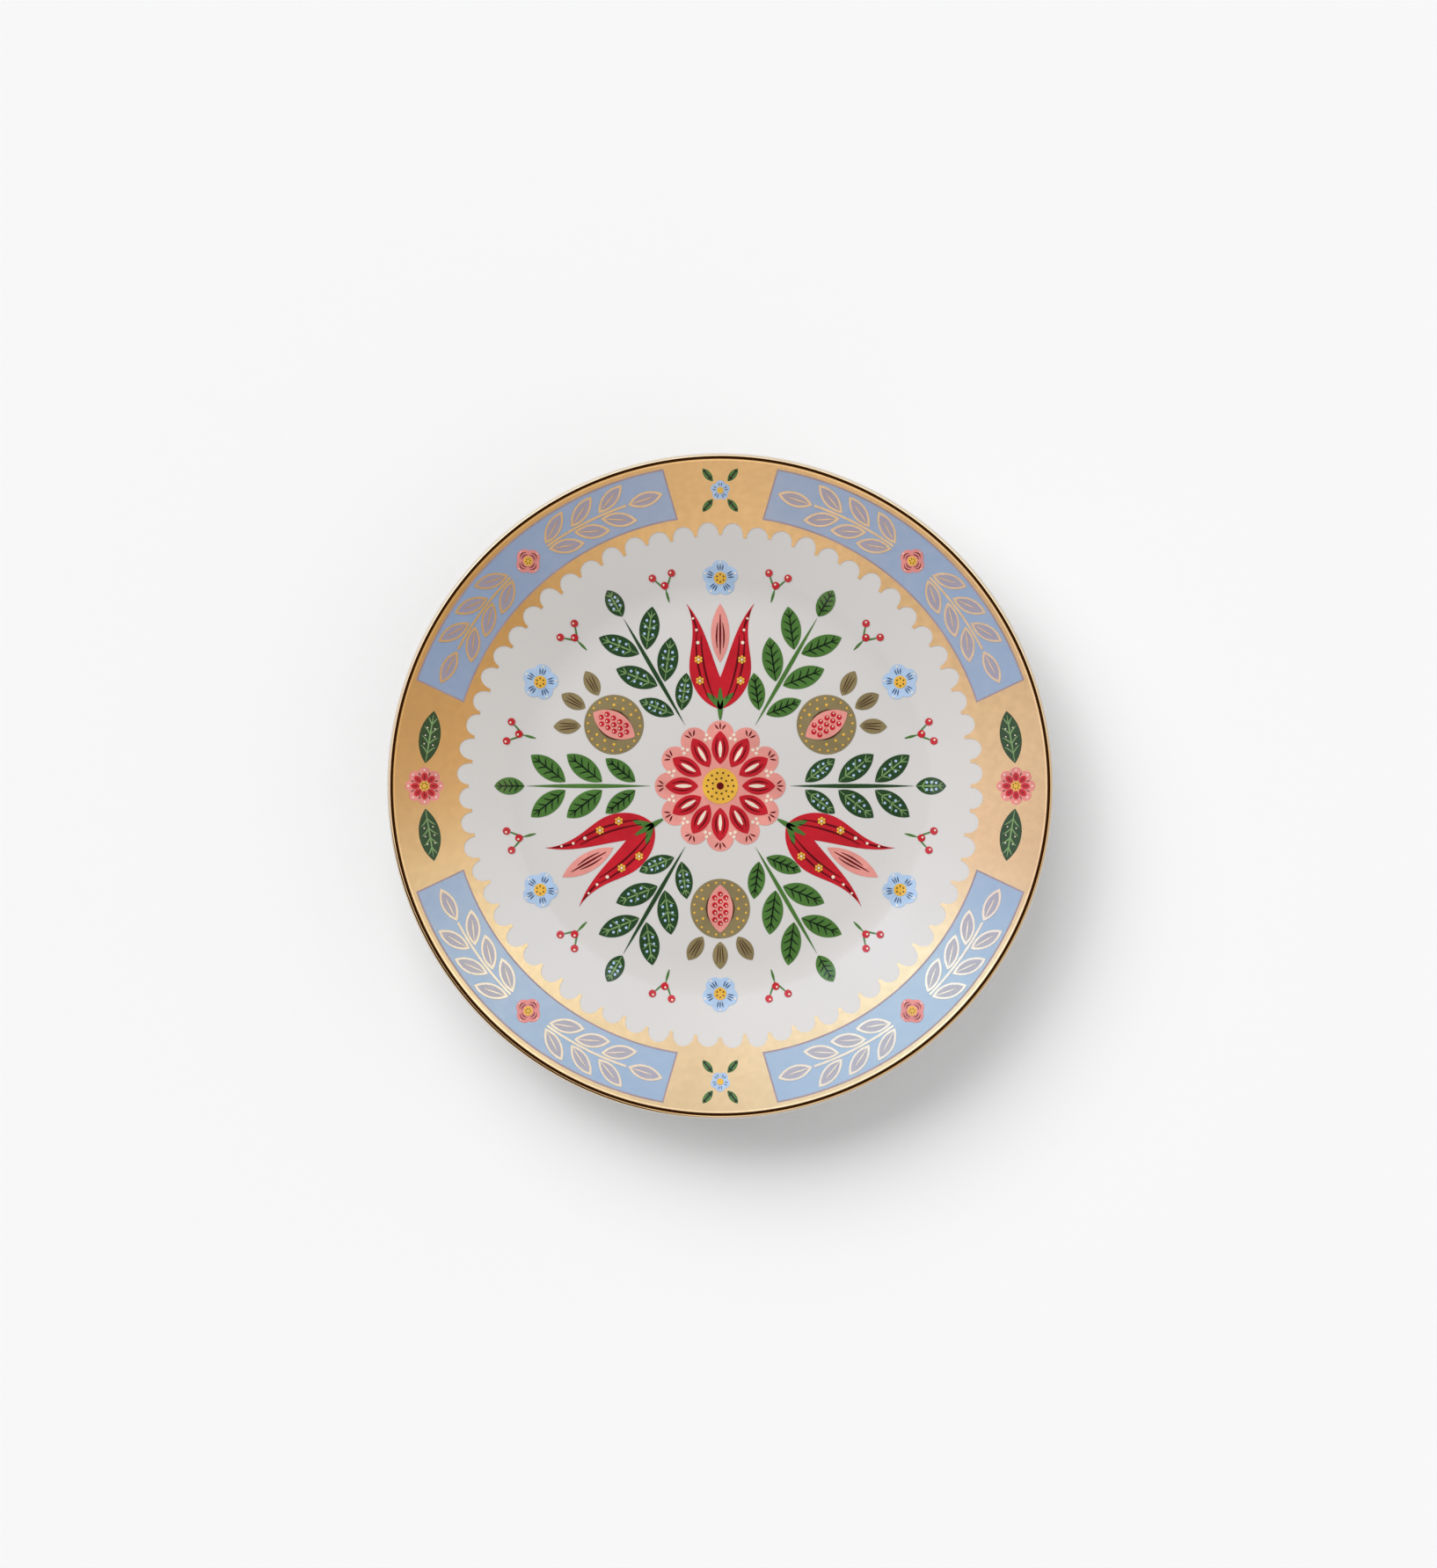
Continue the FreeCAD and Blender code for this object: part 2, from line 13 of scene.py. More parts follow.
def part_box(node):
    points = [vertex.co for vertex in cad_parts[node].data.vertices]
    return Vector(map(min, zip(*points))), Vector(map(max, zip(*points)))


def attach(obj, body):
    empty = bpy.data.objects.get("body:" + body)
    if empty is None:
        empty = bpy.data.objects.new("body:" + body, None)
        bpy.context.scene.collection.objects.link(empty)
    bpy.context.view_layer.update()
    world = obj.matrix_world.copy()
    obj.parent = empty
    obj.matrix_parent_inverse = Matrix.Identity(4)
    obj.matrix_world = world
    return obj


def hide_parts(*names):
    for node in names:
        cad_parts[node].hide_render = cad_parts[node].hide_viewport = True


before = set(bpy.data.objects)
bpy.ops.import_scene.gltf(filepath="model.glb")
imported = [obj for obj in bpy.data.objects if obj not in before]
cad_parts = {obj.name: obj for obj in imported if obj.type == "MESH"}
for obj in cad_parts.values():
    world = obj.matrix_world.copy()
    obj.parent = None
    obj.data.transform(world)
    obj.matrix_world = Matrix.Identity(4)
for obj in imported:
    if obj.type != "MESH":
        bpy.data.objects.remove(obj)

bl_info = {
    "name": "Ring dish",
    "version": (1, 0, 0),
    "blender": (4, 5, 0),
    "location": "View3D > Sidebar > Dish",
    "description": "Builds the looks of a gilded and painted ring dish around its packed model",
    "category": "Object",
}

MM = 0.001
TURN = 2 * math.pi
QUARTER = math.pi / 2
HANDS = (-1, 1)
WELD = 0.001 * MM
SHARP = math.radians(40.0)
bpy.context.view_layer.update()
BODY_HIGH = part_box("porcelain_body")[1]
GILDING_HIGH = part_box("rim_gilding")[1]


# Sizes and colours that a user would change


def setting(kind, **limits):
    """Maker of settings of one kind, from a name, a description and a default."""
    return lambda name, description, default: kind(
        name=name, description=description, default=default, **limits
    )


length = setting(bpy.props.FloatProperty, min=0.0, precision=5, unit="LENGTH", subtype="DISTANCE")
share = setting(bpy.props.FloatProperty, min=0.0, max=1.0, subtype="FACTOR")
rotation = setting(bpy.props.FloatProperty, unit="ROTATION", subtype="ANGLE")
measure = setting(bpy.props.FloatProperty, min=1.0)
count = setting(bpy.props.IntProperty, min=3)
colour = setting(bpy.props.FloatVectorProperty, size=3, min=0.0, max=4.0, subtype="COLOR")


def angle(name, description, degrees):
    return rotation(name, description, math.radians(degrees))


class DishSizes(bpy.types.PropertyGroup):
    """Section of the porcelain and of the gold line on its lip."""

    dish_radius: length("Dish radius", "Radius of the porcelain at its lip", BODY_HIGH.x)
    dish_height: length("Dish height", "Height of the porcelain", BODY_HIGH.z)
    rim_width: length("Rim width", "From the edge of the flat floor to the outside of the lip", 24.2 * MM)
    floor_height: length("Floor height", "Height of the flat floor", 5.8 * MM)
    floor_thickness: length("Floor thickness", "Thickness of the floor and the shoulder", 2.6 * MM)
    shoulder_radius: length("Shoulder radius", "Radius between floor and flange", 18.0 * MM)
    lip_radius: length("Lip radius", "Radius of the lip on its upper side", 0.6 * MM)
    lip_under_radius: length("Lip under radius", "Radius of the lip on its lower side", 2.4 * MM)
    foot_margin: length("Foot margin", "From the edge of the floor in to the foot", 1.5 * MM)
    foot_width: length("Foot width", "Width of the foot ring", 3.0 * MM)
    foot_fillet_radius: length("Foot fillet", "Fillet between foot and underside", 0.6 * MM)
    foot_edge_radius: length("Foot edge", "Rounding of the foot's standing edges", 0.4 * MM)
    gilding_thickness: length("Gilding", "Thickness of the gold on the lip", GILDING_HIGH.z - BODY_HIGH.z)
    rim_line_width: length("Rim line", "Width of the gold line on the flange", 0.3 * MM)
    rim_wrap: angle("Rim wrap", "How far the gold goes round below the lip", 25.0)
    turned_segments: count("Segments", "Segments of a full turn", 256)


class DecorationSizes(bpy.types.PropertyGroup):
    """Border, panels and painted motifs."""

    enamel_thickness: length("Enamel", "Thickness of one fired layer", 0.06 * MM)
    scallops: count("Scallops", "Scallops round the gold border", 64)
    scallop_segments: count("Scallop segments", "Segments along one scallop", 16)
    scallop_depth: share("Scallop depth", "Depth of a scallop as a share of its pitch", 0.49)
    tip_share: share("Tip share", "Width of the blunt tip between two scallops, in pitches", 0.13)
    scallop_wobble: length("Scallop wobble", "How unlike each other the brushed scallops are", 0.22 * MM)
    border_width: length("Border width", "From the outside of the lip in to the scallops", 12.7 * MM)
    panel_well_margin: length("Panel well margin", "Gold between the scallops and a panel", 1.25 * MM)
    panel_rim_margin: length("Panel rim margin", "From the lip in to a panel", 1.65 * MM)
    panel_outer_half: angle("Panel outer half angle", "Half of a panel's outer arc", 30.3)
    panel_inner_half: angle("Panel inner half angle", "Half of a panel's inner arc", 31.5)
    outline_width: length("Outline width", "Width of the line round a panel", 0.24 * MM)
    roundel_margin: length("Roundel margin", "From the scallops in to the roundel", 2.9 * MM)
    fine_line: length("Fine line", "Width of the finest brush line", 0.2 * MM)
    brush_rise: length("Brush rise", "Rise of the brushwork over the enamel below it", 0.04 * MM)


class DishColours(bpy.types.PropertyGroup):
    """Colours of the body, the metals and the enamels."""

    glaze: colour("Glaze", "Glazed porcelain", (0.668, 0.648, 0.630))
    iron: colour("Iron", "Specks in the glaze", (0.40, 0.34, 0.27))
    biscuit: colour("Biscuit", "Bare clay where the foot stands", (0.56, 0.53, 0.49))
    gold: colour("Gold", "Fired bright gold", (0.93, 0.68, 0.36))
    pen_gold: colour("Pen gold", "Thin gold of the laurel's lines", (0.95, 0.78, 0.54))
    worn_gold: colour("Worn gold", "Outside of the lip, where the gold is worn off", (0.70, 0.63, 0.53))
    blue: colour("Blue", "Ground of the panels", (0.150, 0.378, 0.710))
    lavender: colour("Lavender", "Filling of the laurel leaves", (0.225, 0.285, 0.500))
    mauve: colour("Mauve", "Line round the panels", (0.36, 0.27, 0.30))
    pink: colour("Pink", "Flowers on the rim", (0.76, 0.26, 0.24))
    coral: colour("Coral", "Pale flowers of the roundel", (0.80, 0.315, 0.275))
    red: colour("Red", "Petals", (0.545, 0.016, 0.028))
    dark_red: colour("Dark red", "Lines on the red flowers", (0.13, 0.006, 0.010))
    yellow: colour("Yellow", "Hearts of the flowers", (0.83, 0.47, 0.06))
    cream: colour("Cream", "Light dots and strokes", (0.86, 0.74, 0.60))
    dark_green: colour("Dark green", "Dark leaves", (0.024, 0.066, 0.024))
    leaf_green: colour("Leaf green", "Bright leaves", (0.075, 0.185, 0.040))
    pale_green: colour("Pale green", "Veins of the dark leaves", (0.20, 0.33, 0.13))
    ink: colour("Ink", "Veins of the bright leaves", (0.010, 0.022, 0.012))
    tan: colour("Tan", "Skin of the fruit", (0.262, 0.205, 0.100))
    brown: colour("Brown", "Lines on tan and yellow", (0.085, 0.045, 0.020))
    sky: colour("Sky", "Small blossoms", (0.42, 0.57, 0.78))
    navy: colour("Navy", "Lines on the small blossoms", (0.055, 0.105, 0.210))


class StageSettings(bpy.types.PropertyGroup):
    """Floor, light and camera."""

    floor_colour: colour("Floor", "Colour of the floor", (0.939, 0.939, 0.941))
    floor_size: length("Floor size", "Side of the floor", 6.0)
    sun_azimuth: angle("Light azimuth", "Direction that the soft light comes from", 114.5)
    sun_elevation: angle("Light elevation", "Height of the soft light", 42.1)
    sun_spread: angle("Light spread", "Angle across the soft light", 46.2)
    sun_share: share("Light share", "Share of the floor's light that the soft light gives", 0.30)
    side_azimuth: angle("Side light azimuth", "Direction that the second soft light comes from", 144.0)
    side_elevation: angle("Side light elevation", "Height of the second soft light", 37.8)
    side_spread: angle("Side light spread", "Angle across the second soft light", 36.5)
    side_share: share("Side light share", "Share of the floor's light that the second soft light gives", 0.20)
    fill_azimuth: angle("Fill azimuth", "Direction of the brighter side of the even light", 335.1)
    fill_share: share("Fill share", "How much brighter that side is", 0.76)
    low_room: share("Low room", "Brightness of the mirrored room near the floor, against higher up", 0.20)
    ceiling: colour("Ceiling", "Dark ceiling and dark side that polished metal shows", (0.030, 0.012, 0.003))
    dark_azimuth: angle("Dark side azimuth", "Direction of the dark side of the mirrored room", 225.0)
    lens: measure("Lens", "Focal length in millimetres", 120.0)
    frame_height: length("Frame height", "Height of the picture at the lip", 241.42 * MM)
    camera_x: length("Camera x", "How far the camera stands to the left of the axis", 0.265 * MM)
    camera_y: length("Camera y", "Upward place of the camera in the picture", 0.303 * MM)


# Section of the dish


def tangent_slope(start, end, reach):
    """Slope of the line whose distances from two centres differ or add up to reach."""
    step = end - start
    return math.atan2(step.y, step.x) + math.asin(reach / step.length)


def polar(radius, turn):
    """Point at a distance and a direction, in a plane."""
    return Vector((radius * math.cos(turn), radius * math.sin(turn)))


def turns(*degrees):
    return [math.radians(value) for value in degrees]


class Section:
    """Half section of the dish in the plane of radius and height."""

    def __init__(self, sizes):
        self.sizes = sizes
        self.floor_radius = sizes.dish_radius - sizes.rim_width
        self.shoulder_centre = Vector((self.floor_radius, sizes.floor_height + sizes.shoulder_radius))
        lip_height = sizes.dish_height - sizes.lip_radius
        self.lip_centre = Vector((sizes.dish_radius - sizes.lip_radius, lip_height))
        self.lip_under_centre = Vector((sizes.dish_radius - sizes.lip_under_radius, lip_height))
        self.under_height = sizes.floor_height - sizes.floor_thickness
        self.under_shoulder_radius = sizes.shoulder_radius + sizes.floor_thickness
        self.flange_slope = tangent_slope(
            self.shoulder_centre, self.lip_centre, sizes.shoulder_radius + sizes.lip_radius
        )
        self.under_slope = tangent_slope(
            self.shoulder_centre, self.lip_under_centre, self.under_shoulder_radius - sizes.lip_under_radius
        )

    def flange_point(self, back, rise):
        """Point at a distance back from the lip along the flange, and at a rise above it."""
        start = self.lip_centre + polar(self.sizes.lip_radius + rise, self.flange_slope + QUARTER)
        return start - polar(back, self.flange_slope)

    def height(self, radius, rise):
        """Height over the table of a layer that lies at a rise above the glaze."""
        if radius <= self.floor_radius:
            return self.sizes.floor_height + rise
        arc = self.sizes.shoulder_radius - rise
        shoulder_end = self.shoulder_centre + polar(arc, self.flange_slope - QUARTER)
        if radius <= shoulder_end.x:
            across = radius - self.shoulder_centre.x
            return self.shoulder_centre.y - math.sqrt(arc ** 2 - across ** 2)
        return shoulder_end.y + (radius - shoulder_end.x) * math.tan(self.flange_slope)

    def over(self, point, rise):
        """Point above a plan point, at a rise over the glaze."""
        return Vector((point.x, point.y, self.height(point.length, rise)))


class Lathe:
    """Profile drawn by moving one vertex, then turned about the dish's axis."""

    def __init__(self, start):
        self.mesh = bmesh.new()
        self.tip = self.mesh.verts.new((start.x, 0.0, start.y))

    def line(self, end, steps=1):
        """Straight run of the profile to a point."""
        begin = self.tip.co.copy()
        for step in range(1, steps + 1):
            made = bmesh.ops.extrude_vert_indiv(self.mesh, verts=[self.tip])
            self.tip = made["verts"][0]
            self.tip.co = begin.lerp(Vector((end.x, 0.0, end.y)), step / steps)

    def arc(self, centre, turn, steps):
        """Arc of the profile about a centre, counted from radius towards height."""
        made = bmesh.ops.spin(
            self.mesh, geom=[self.tip], cent=(centre.x, 0.0, centre.y), axis=(0.0, -1.0, 0.0),
            angle=turn, steps=steps,
        )
        self.tip = next(item for item in made["geom_last"] if isinstance(item, bmesh.types.BMVert))

    def turned(self, segments):
        """Closed mesh of the profile turned once round."""
        profile = self.mesh.verts[:] + self.mesh.edges[:]
        bmesh.ops.spin(
            self.mesh, geom=profile, cent=(0.0, 0.0, 0.0), axis=(0.0, 0.0, 1.0),
            angle=TURN, steps=segments, use_merge=True,
        )
        bmesh.ops.remove_doubles(self.mesh, verts=self.mesh.verts[:], dist=WELD)
        bmesh.ops.recalc_face_normals(self.mesh, faces=self.mesh.faces[:])
        return self.mesh


# Pieces


def smooth(mesh):
    """Soft shading, with the edges of the thin layers left crisp."""
    for face in mesh.faces:
        face.smooth = True
    for edge in mesh.edges:
        edge.smooth = len(edge.link_faces) == 2 and edge.calc_face_angle() < SHARP


def add_object(name, data):
    """New object in the scene."""
    made = bpy.data.objects.new(name, data)
    bpy.context.scene.collection.objects.link(made)
    return made


def add_mesh(name, mesh, material):
    """New object from a bmesh, in one finish."""
    data = bpy.data.meshes.new(name)
    mesh.to_mesh(data)
    mesh.free()
    data.materials.append(material)
    return add_object(name, data)


def add_piece(name, mesh, material, slot, *replaced):
    """New piece that rides on the dish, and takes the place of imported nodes."""
    smooth(mesh)
    piece = add_mesh(name, mesh, material)
    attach(piece, "root")
    if replaced:
        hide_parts(*replaced)


def dress(prefixes, material):
    """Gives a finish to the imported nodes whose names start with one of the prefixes."""
    for name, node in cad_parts.items():
        if name.startswith(prefixes):
            node.data.materials.clear()
            node.data.materials.append(material)


# Finishes

# Range that most of a noise's values lie in
MIDDLE = (0.3, 0.7)
# Cosines of the angles from an azimuth between which the gold kept there gives way to the usual wear
KEPT_SIDE = (0.74, 0.90)
# How metallic the lip still is where the gold is worn off
WORN_METAL = 0.2


class Nodes:
    """Node helpers that the finishes and the world share."""

    def __init__(self, tree):
        self.tree = tree

    def node(self, kind, values=(), output=0, **settings):
        """New node with its sockets set to numbers or linked to outputs; gives one output of its own."""
        made = self.tree.nodes.new(kind)
        for key, value in settings.items():
            setattr(made, key, value)
        for socket, value in dict(values).items():
            if isinstance(value, bpy.types.NodeSocket):
                self.tree.links.new(value, made.inputs[socket])
            else:
                made.inputs[socket].default_value = value
        return made.outputs[output]

    def span(self, value, low, high, start=0.0, end=1.0, **settings):
        """Maps a range of a value onto another range."""
        return self.node("ShaderNodeMapRange", {0: value, 1: low, 2: high, 3: start, 4: end}, **settings)

    def blend(self, factor, first, second):
        """Colour between two colours."""
        return self.node("ShaderNodeMix", {0: factor, 6: first, 7: second}, 2, data_type="RGBA")

    def reckon(self, operation, first, second):
        return self.node("ShaderNodeMath", {0: first, 1: second}, operation=operation)

    def vector(self, operation, first, second=(0.0, 0.0, 0.0), output=0):
        return self.node("ShaderNodeVectorMath", {0: first, 1: second}, output, operation=operation)

    def towards(self, heading, azimuth):
        """How far a direction points towards an azimuth."""
        return self.vector("DOT_PRODUCT", heading, polar(1.0, azimuth).to_3d(), "Value")


class Finish(Nodes):
    """One material, with the places and noises that its nodes start from."""

    def __init__(self, name):
        self.material = bpy.data.materials.new(name)
        self.material.use_nodes = True
        super().__init__(self.material.node_tree)
        self.shader = self.tree.nodes["Principled BSDF"]
        self.place = self.node("ShaderNodeTexCoord", output="Object")

    def put(self, source, socket):
        """Links an output to a socket of the shader."""
        self.tree.links.new(source, self.shader.inputs[socket])

    def noise(self, scale, detail=3.0, vector=None):
        values = {"Vector": vector or self.place, "Scale": scale, "Detail": detail}
        return self.node("ShaderNodeTexNoise", values)

    def plus(self, first, second, part):
        """First value and a part of the second."""
        return self.reckon("ADD", first, self.reckon("MULTIPLY", second, part))

    def shade(self, factor, rgb, dark, light):
        """Colour between a darker and a lighter tone of one colour."""
        return self.blend(factor, tone(rgb, dark), tone(rgb, light))

    def relief(self, height, distance, strength):
        """Fine relief of the surface."""
        values = {"Height": height, "Distance": distance, "Strength": strength}
        self.put(self.node("ShaderNodeBump", values), "Normal")

    def plan(self):
        """Place in the plane across the dish's axis."""
        return self.vector("MULTIPLY", self.place, (1.0, 1.0, 0.0))

    def radius(self):
        """Distance from the dish's axis."""
        return self.vector("LENGTH", self.plan(), output="Value")

    def facing(self, azimuth):
        """Cosine of the angle round the axis from an azimuth."""
        return self.towards(self.vector("NORMALIZE", self.plan()), azimuth)

    def height(self):
        """Height over the table."""
        return self.node("ShaderNodeSeparateXYZ", {0: self.place}, "Z")

    def rings(self, scale):
        """Noise that changes with the distance from the axis and the height alone."""
        joined = self.node("ShaderNodeCombineXYZ", {0: self.radius(), 1: self.height()})
        return self.noise(scale, 2.0, joined)


def tone(rgb, factor=1.0):
    """Colour made lighter or darker, as a socket takes it."""
    return tuple(min(1.0, value * factor) for value in rgb) + (1.0,)


def porcelain_finish(colours):
    """Glossy glaze with faint clouding and a few iron specks, and bare clay where the foot stands."""
    made = Finish("glazed porcelain")
    clouds = made.span(made.noise(scale=55.0), *MIDDLE)
    white = made.shade(clouds, colours.glaze, dark=0.985, light=1.015)
    cells = made.node("ShaderNodeTexVoronoi", {"Vector": made.place, "Scale": 90.0}, "Distance")
    specks = made.span(cells, low=0.012, high=0.022, start=0.35, end=0.0)
    specked = made.blend(specks, white, tone(colours.iron))
    clay = made.shade(made.noise(scale=2200.0, detail=4.0), colours.biscuit, dark=0.93, light=1.06)
    glazed = made.span(made.height(), low=0.22 * MM, high=0.40 * MM)
    made.put(made.blend(glazed, clay, specked), "Base Color")
    made.put(made.span(glazed, 0.0, 1.0, start=0.75, end=0.14), "Roughness")
    pits = made.noise(scale=900.0, detail=2.0)
    ripple = made.plus(made.noise(scale=160.0, detail=2.0), pits, part=0.12)
    made.relief(ripple, distance=0.05 * MM, strength=0.35)
    return made.material


def wear_off(made, gold, worn_rgb, kept_azimuth, starts, ends):
    """Colour of gold that is worn off between two radii, which lie further out at one azimuth."""
    kept = made.facing(kept_azimuth)
    start, end = (made.span(kept, *KEPT_SIDE, *radii) for radii in (starts, ends))
    worn = made.span(made.radius(), start, end)
    made.put(made.span(worn, 0.0, 1.0, start=1.0, end=WORN_METAL), "Metallic")
    return made.blend(worn, gold, tone(worn_rgb))


def gold_finish(name, rgb, roughness=0.18, thin=0.06, wear=None):
    """Fired gold with faint rings from the banding wheel and thinner places; wear says where it is worn off."""
    made = Finish(name)
    made.shader.inputs["Metallic"].default_value = 1.0
    clouds = made.span(made.noise(scale=70.0), *MIDDLE)
    bright = made.shade(clouds, rgb, dark=0.97, light=1.03)
    thinner = made.span(made.noise(scale=260.0, detail=4.0), low=0.56, high=0.78, end=thin)
    body = made.blend(thinner, bright, tone(rgb, 0.62))
    made.put(wear_off(made, body, *wear) if wear else body, "Base Color")
    grain = made.noise(scale=900.0, detail=2.0)
    made.put(made.span(grain, *MIDDLE, start=roughness - 0.02, end=roughness + 0.02), "Roughness")
    marks = made.plus(made.rings(scale=5200.0), made.noise(scale=300.0), part=0.6)
    made.relief(marks, distance=0.0015 * MM, strength=0.12)
    return made.material


def enamel_finish(name, rgb):
    """Fired enamel, a little uneven in strength, pooled darker in places."""
    made = Finish(name)
    wash = made.span(made.noise(scale=260.0), low=0.28, high=0.72)
    ground = made.shade(wash, rgb, dark=0.86, light=1.10)
    pooled = made.span(made.noise(scale=1300.0, detail=2.0), low=0.60, high=0.75, end=0.35)
    made.put(made.blend(pooled, ground, tone(rgb, 0.72)), "Base Color")
    made.put(made.span(made.noise(scale=800.0), *MIDDLE, start=0.13, end=0.21), "Roughness")
    made.relief(made.noise(scale=600.0, detail=2.0), distance=0.012 * MM, strength=0.4)
    return made.material


def lustre_finish(name, rgb, dust_rgb):
    """Even ground enamel with a lustre, a faint cloud, some dust and a soft orange-peel surface."""
    made = Finish(name)
    clouds = made.span(made.noise(scale=120.0), *MIDDLE)
    even = made.shade(clouds, rgb, dark=0.975, light=1.02)
    dust = made.span(made.noise(scale=2600.0, detail=2.0), low=0.66, high=0.78, end=0.25)
    made.put(made.blend(dust, even, tone(dust_rgb, 0.85)), "Base Color")
    made.put(made.span(made.noise(scale=700.0), *MIDDLE, start=0.14, end=0.20), "Roughness")
    made.shader.inputs["IOR"].default_value = 3.4
    made.shader.inputs["Specular Tint"].default_value = (1.0, 0.74, 0.35, 1.0)
    made.relief(made.noise(scale=420.0, detail=2.0), distance=0.012 * MM, strength=0.3)
    return made.material


# Porcelain and the gold on its lip

# Where wear starts and ends, in lip radii out from the crest: all round, and where most gold is left
WEAR_STARTS = (0.33, 0.80)
WEAR_ENDS = (0.75, 0.97)


class DISH_OT_porcelain(bpy.types.Operator):
    """Turns the porcelain body from its half section"""

    bl_idname = "dish.porcelain"
    bl_label = "Porcelain body"

    def execute(self, context):
        sizes = context.scene.dish_sizes
        section = Section(sizes)
        lathe = Lathe(Vector((0.0, sizes.floor_height)))
        lathe.line(Vector((section.floor_radius, sizes.floor_height)), steps=16)
        lathe.arc(section.shoulder_centre, section.flange_slope, steps=16)
        lathe.line(section.flange_point(0.0, 0.0), steps=12)
        lathe.arc(section.lip_centre, -section.flange_slope - QUARTER, steps=16)
        lathe.arc(section.lip_under_centre, section.under_slope - QUARTER, steps=10)
        under_end = polar(section.under_shoulder_radius, section.under_slope - QUARTER)
        lathe.line(section.shoulder_centre + under_end, steps=12)
        lathe.arc(section.shoulder_centre, -section.under_slope, steps=14)
        self.underside(lathe, section)
        mesh = lathe.turned(sizes.turned_segments)
        finish = porcelain_finish(context.scene.dish_colours)
        add_piece("dish_porcelain", mesh, finish, "porcelain", "porcelain_body")
        return {"FINISHED"}

    def underside(self, lathe, section):
        """Foot ring with its fillets, and the vault inside it."""
        sizes = section.sizes
        under = section.under_height
        fillet = sizes.foot_fillet_radius
        edge = sizes.foot_edge_radius
        outer = section.floor_radius - sizes.foot_margin
        inner = outer - sizes.foot_width
        lathe.line(Vector((outer + fillet, under)), steps=2)
        lathe.arc(Vector((outer + fillet, under - fillet)), QUARTER, steps=6)
        lathe.line(Vector((outer, edge)))
        lathe.arc(Vector((outer - edge, edge)), -QUARTER, steps=6)
        lathe.line(Vector((inner + edge, 0.0)), steps=3)
        lathe.arc(Vector((inner + edge, edge)), -QUARTER, steps=6)
        lathe.line(Vector((inner, under - fillet)))
        lathe.arc(Vector((inner - fillet, under - fillet)), QUARTER, steps=6)
        lathe.line(Vector((0.0, under)), steps=12)


class DISH_OT_lip_gold(bpy.types.Operator):
    """Turns the polished gold line that wraps the lip"""

    bl_idname = "dish.lip_gold"
    bl_label = "Gold on the lip"

    def execute(self, context):
        scene = context.scene
        sizes = scene.dish_sizes
        section = Section(sizes)
        rise = sizes.gilding_thickness
        lip_turn = section.flange_slope + QUARTER
        start = section.flange_point(sizes.rim_line_width, 0.0)
        lathe = Lathe(start)
        lathe.line(section.flange_point(sizes.rim_line_width, rise))
        lathe.line(section.flange_point(0.0, rise), steps=2)
        lathe.arc(section.lip_centre, -lip_turn, steps=24)
        lathe.arc(section.lip_under_centre, -sizes.rim_wrap, steps=6)
        lathe.line(section.lip_under_centre + polar(sizes.lip_under_radius, -sizes.rim_wrap))
        lathe.arc(section.lip_under_centre, sizes.rim_wrap, steps=6)
        lathe.arc(section.lip_centre, lip_turn, steps=24)
        lathe.line(start)
        mesh = lathe.turned(sizes.turned_segments)
        starts, ends = (
            [section.lip_centre.x + sizes.lip_radius * out for out in outs] for outs in (WEAR_STARTS, WEAR_ENDS)
        )
        colours = scene.dish_colours
        wear = (colours.worn_gold, scene.dish_stage.dark_azimuth, starts, ends)
        finish = gold_finish("polished gold", colours.gold, roughness=0.07, thin=0.15, wear=wear)
        add_piece("dish_lip_gold", mesh, finish, "bright_gold", "rim_gilding")
        return {"FINISHED"}


# Border and panels

# How fast the brushed crests and tips of the scallops swing in and out, in radians per scallop
CREST_BEAT = 1.7
TIP_BEAT = 2.4
PANEL_CENTRES = turns(49.5, 130.5, 229.5, 310.5)
# How far from the middle of a panel's side the sheet is cut, as a share of the border's width
CUT_REACH = 0.75
# Share of the scalloped rows' depth that rounding may take
ROW_SLACK = 1e-6


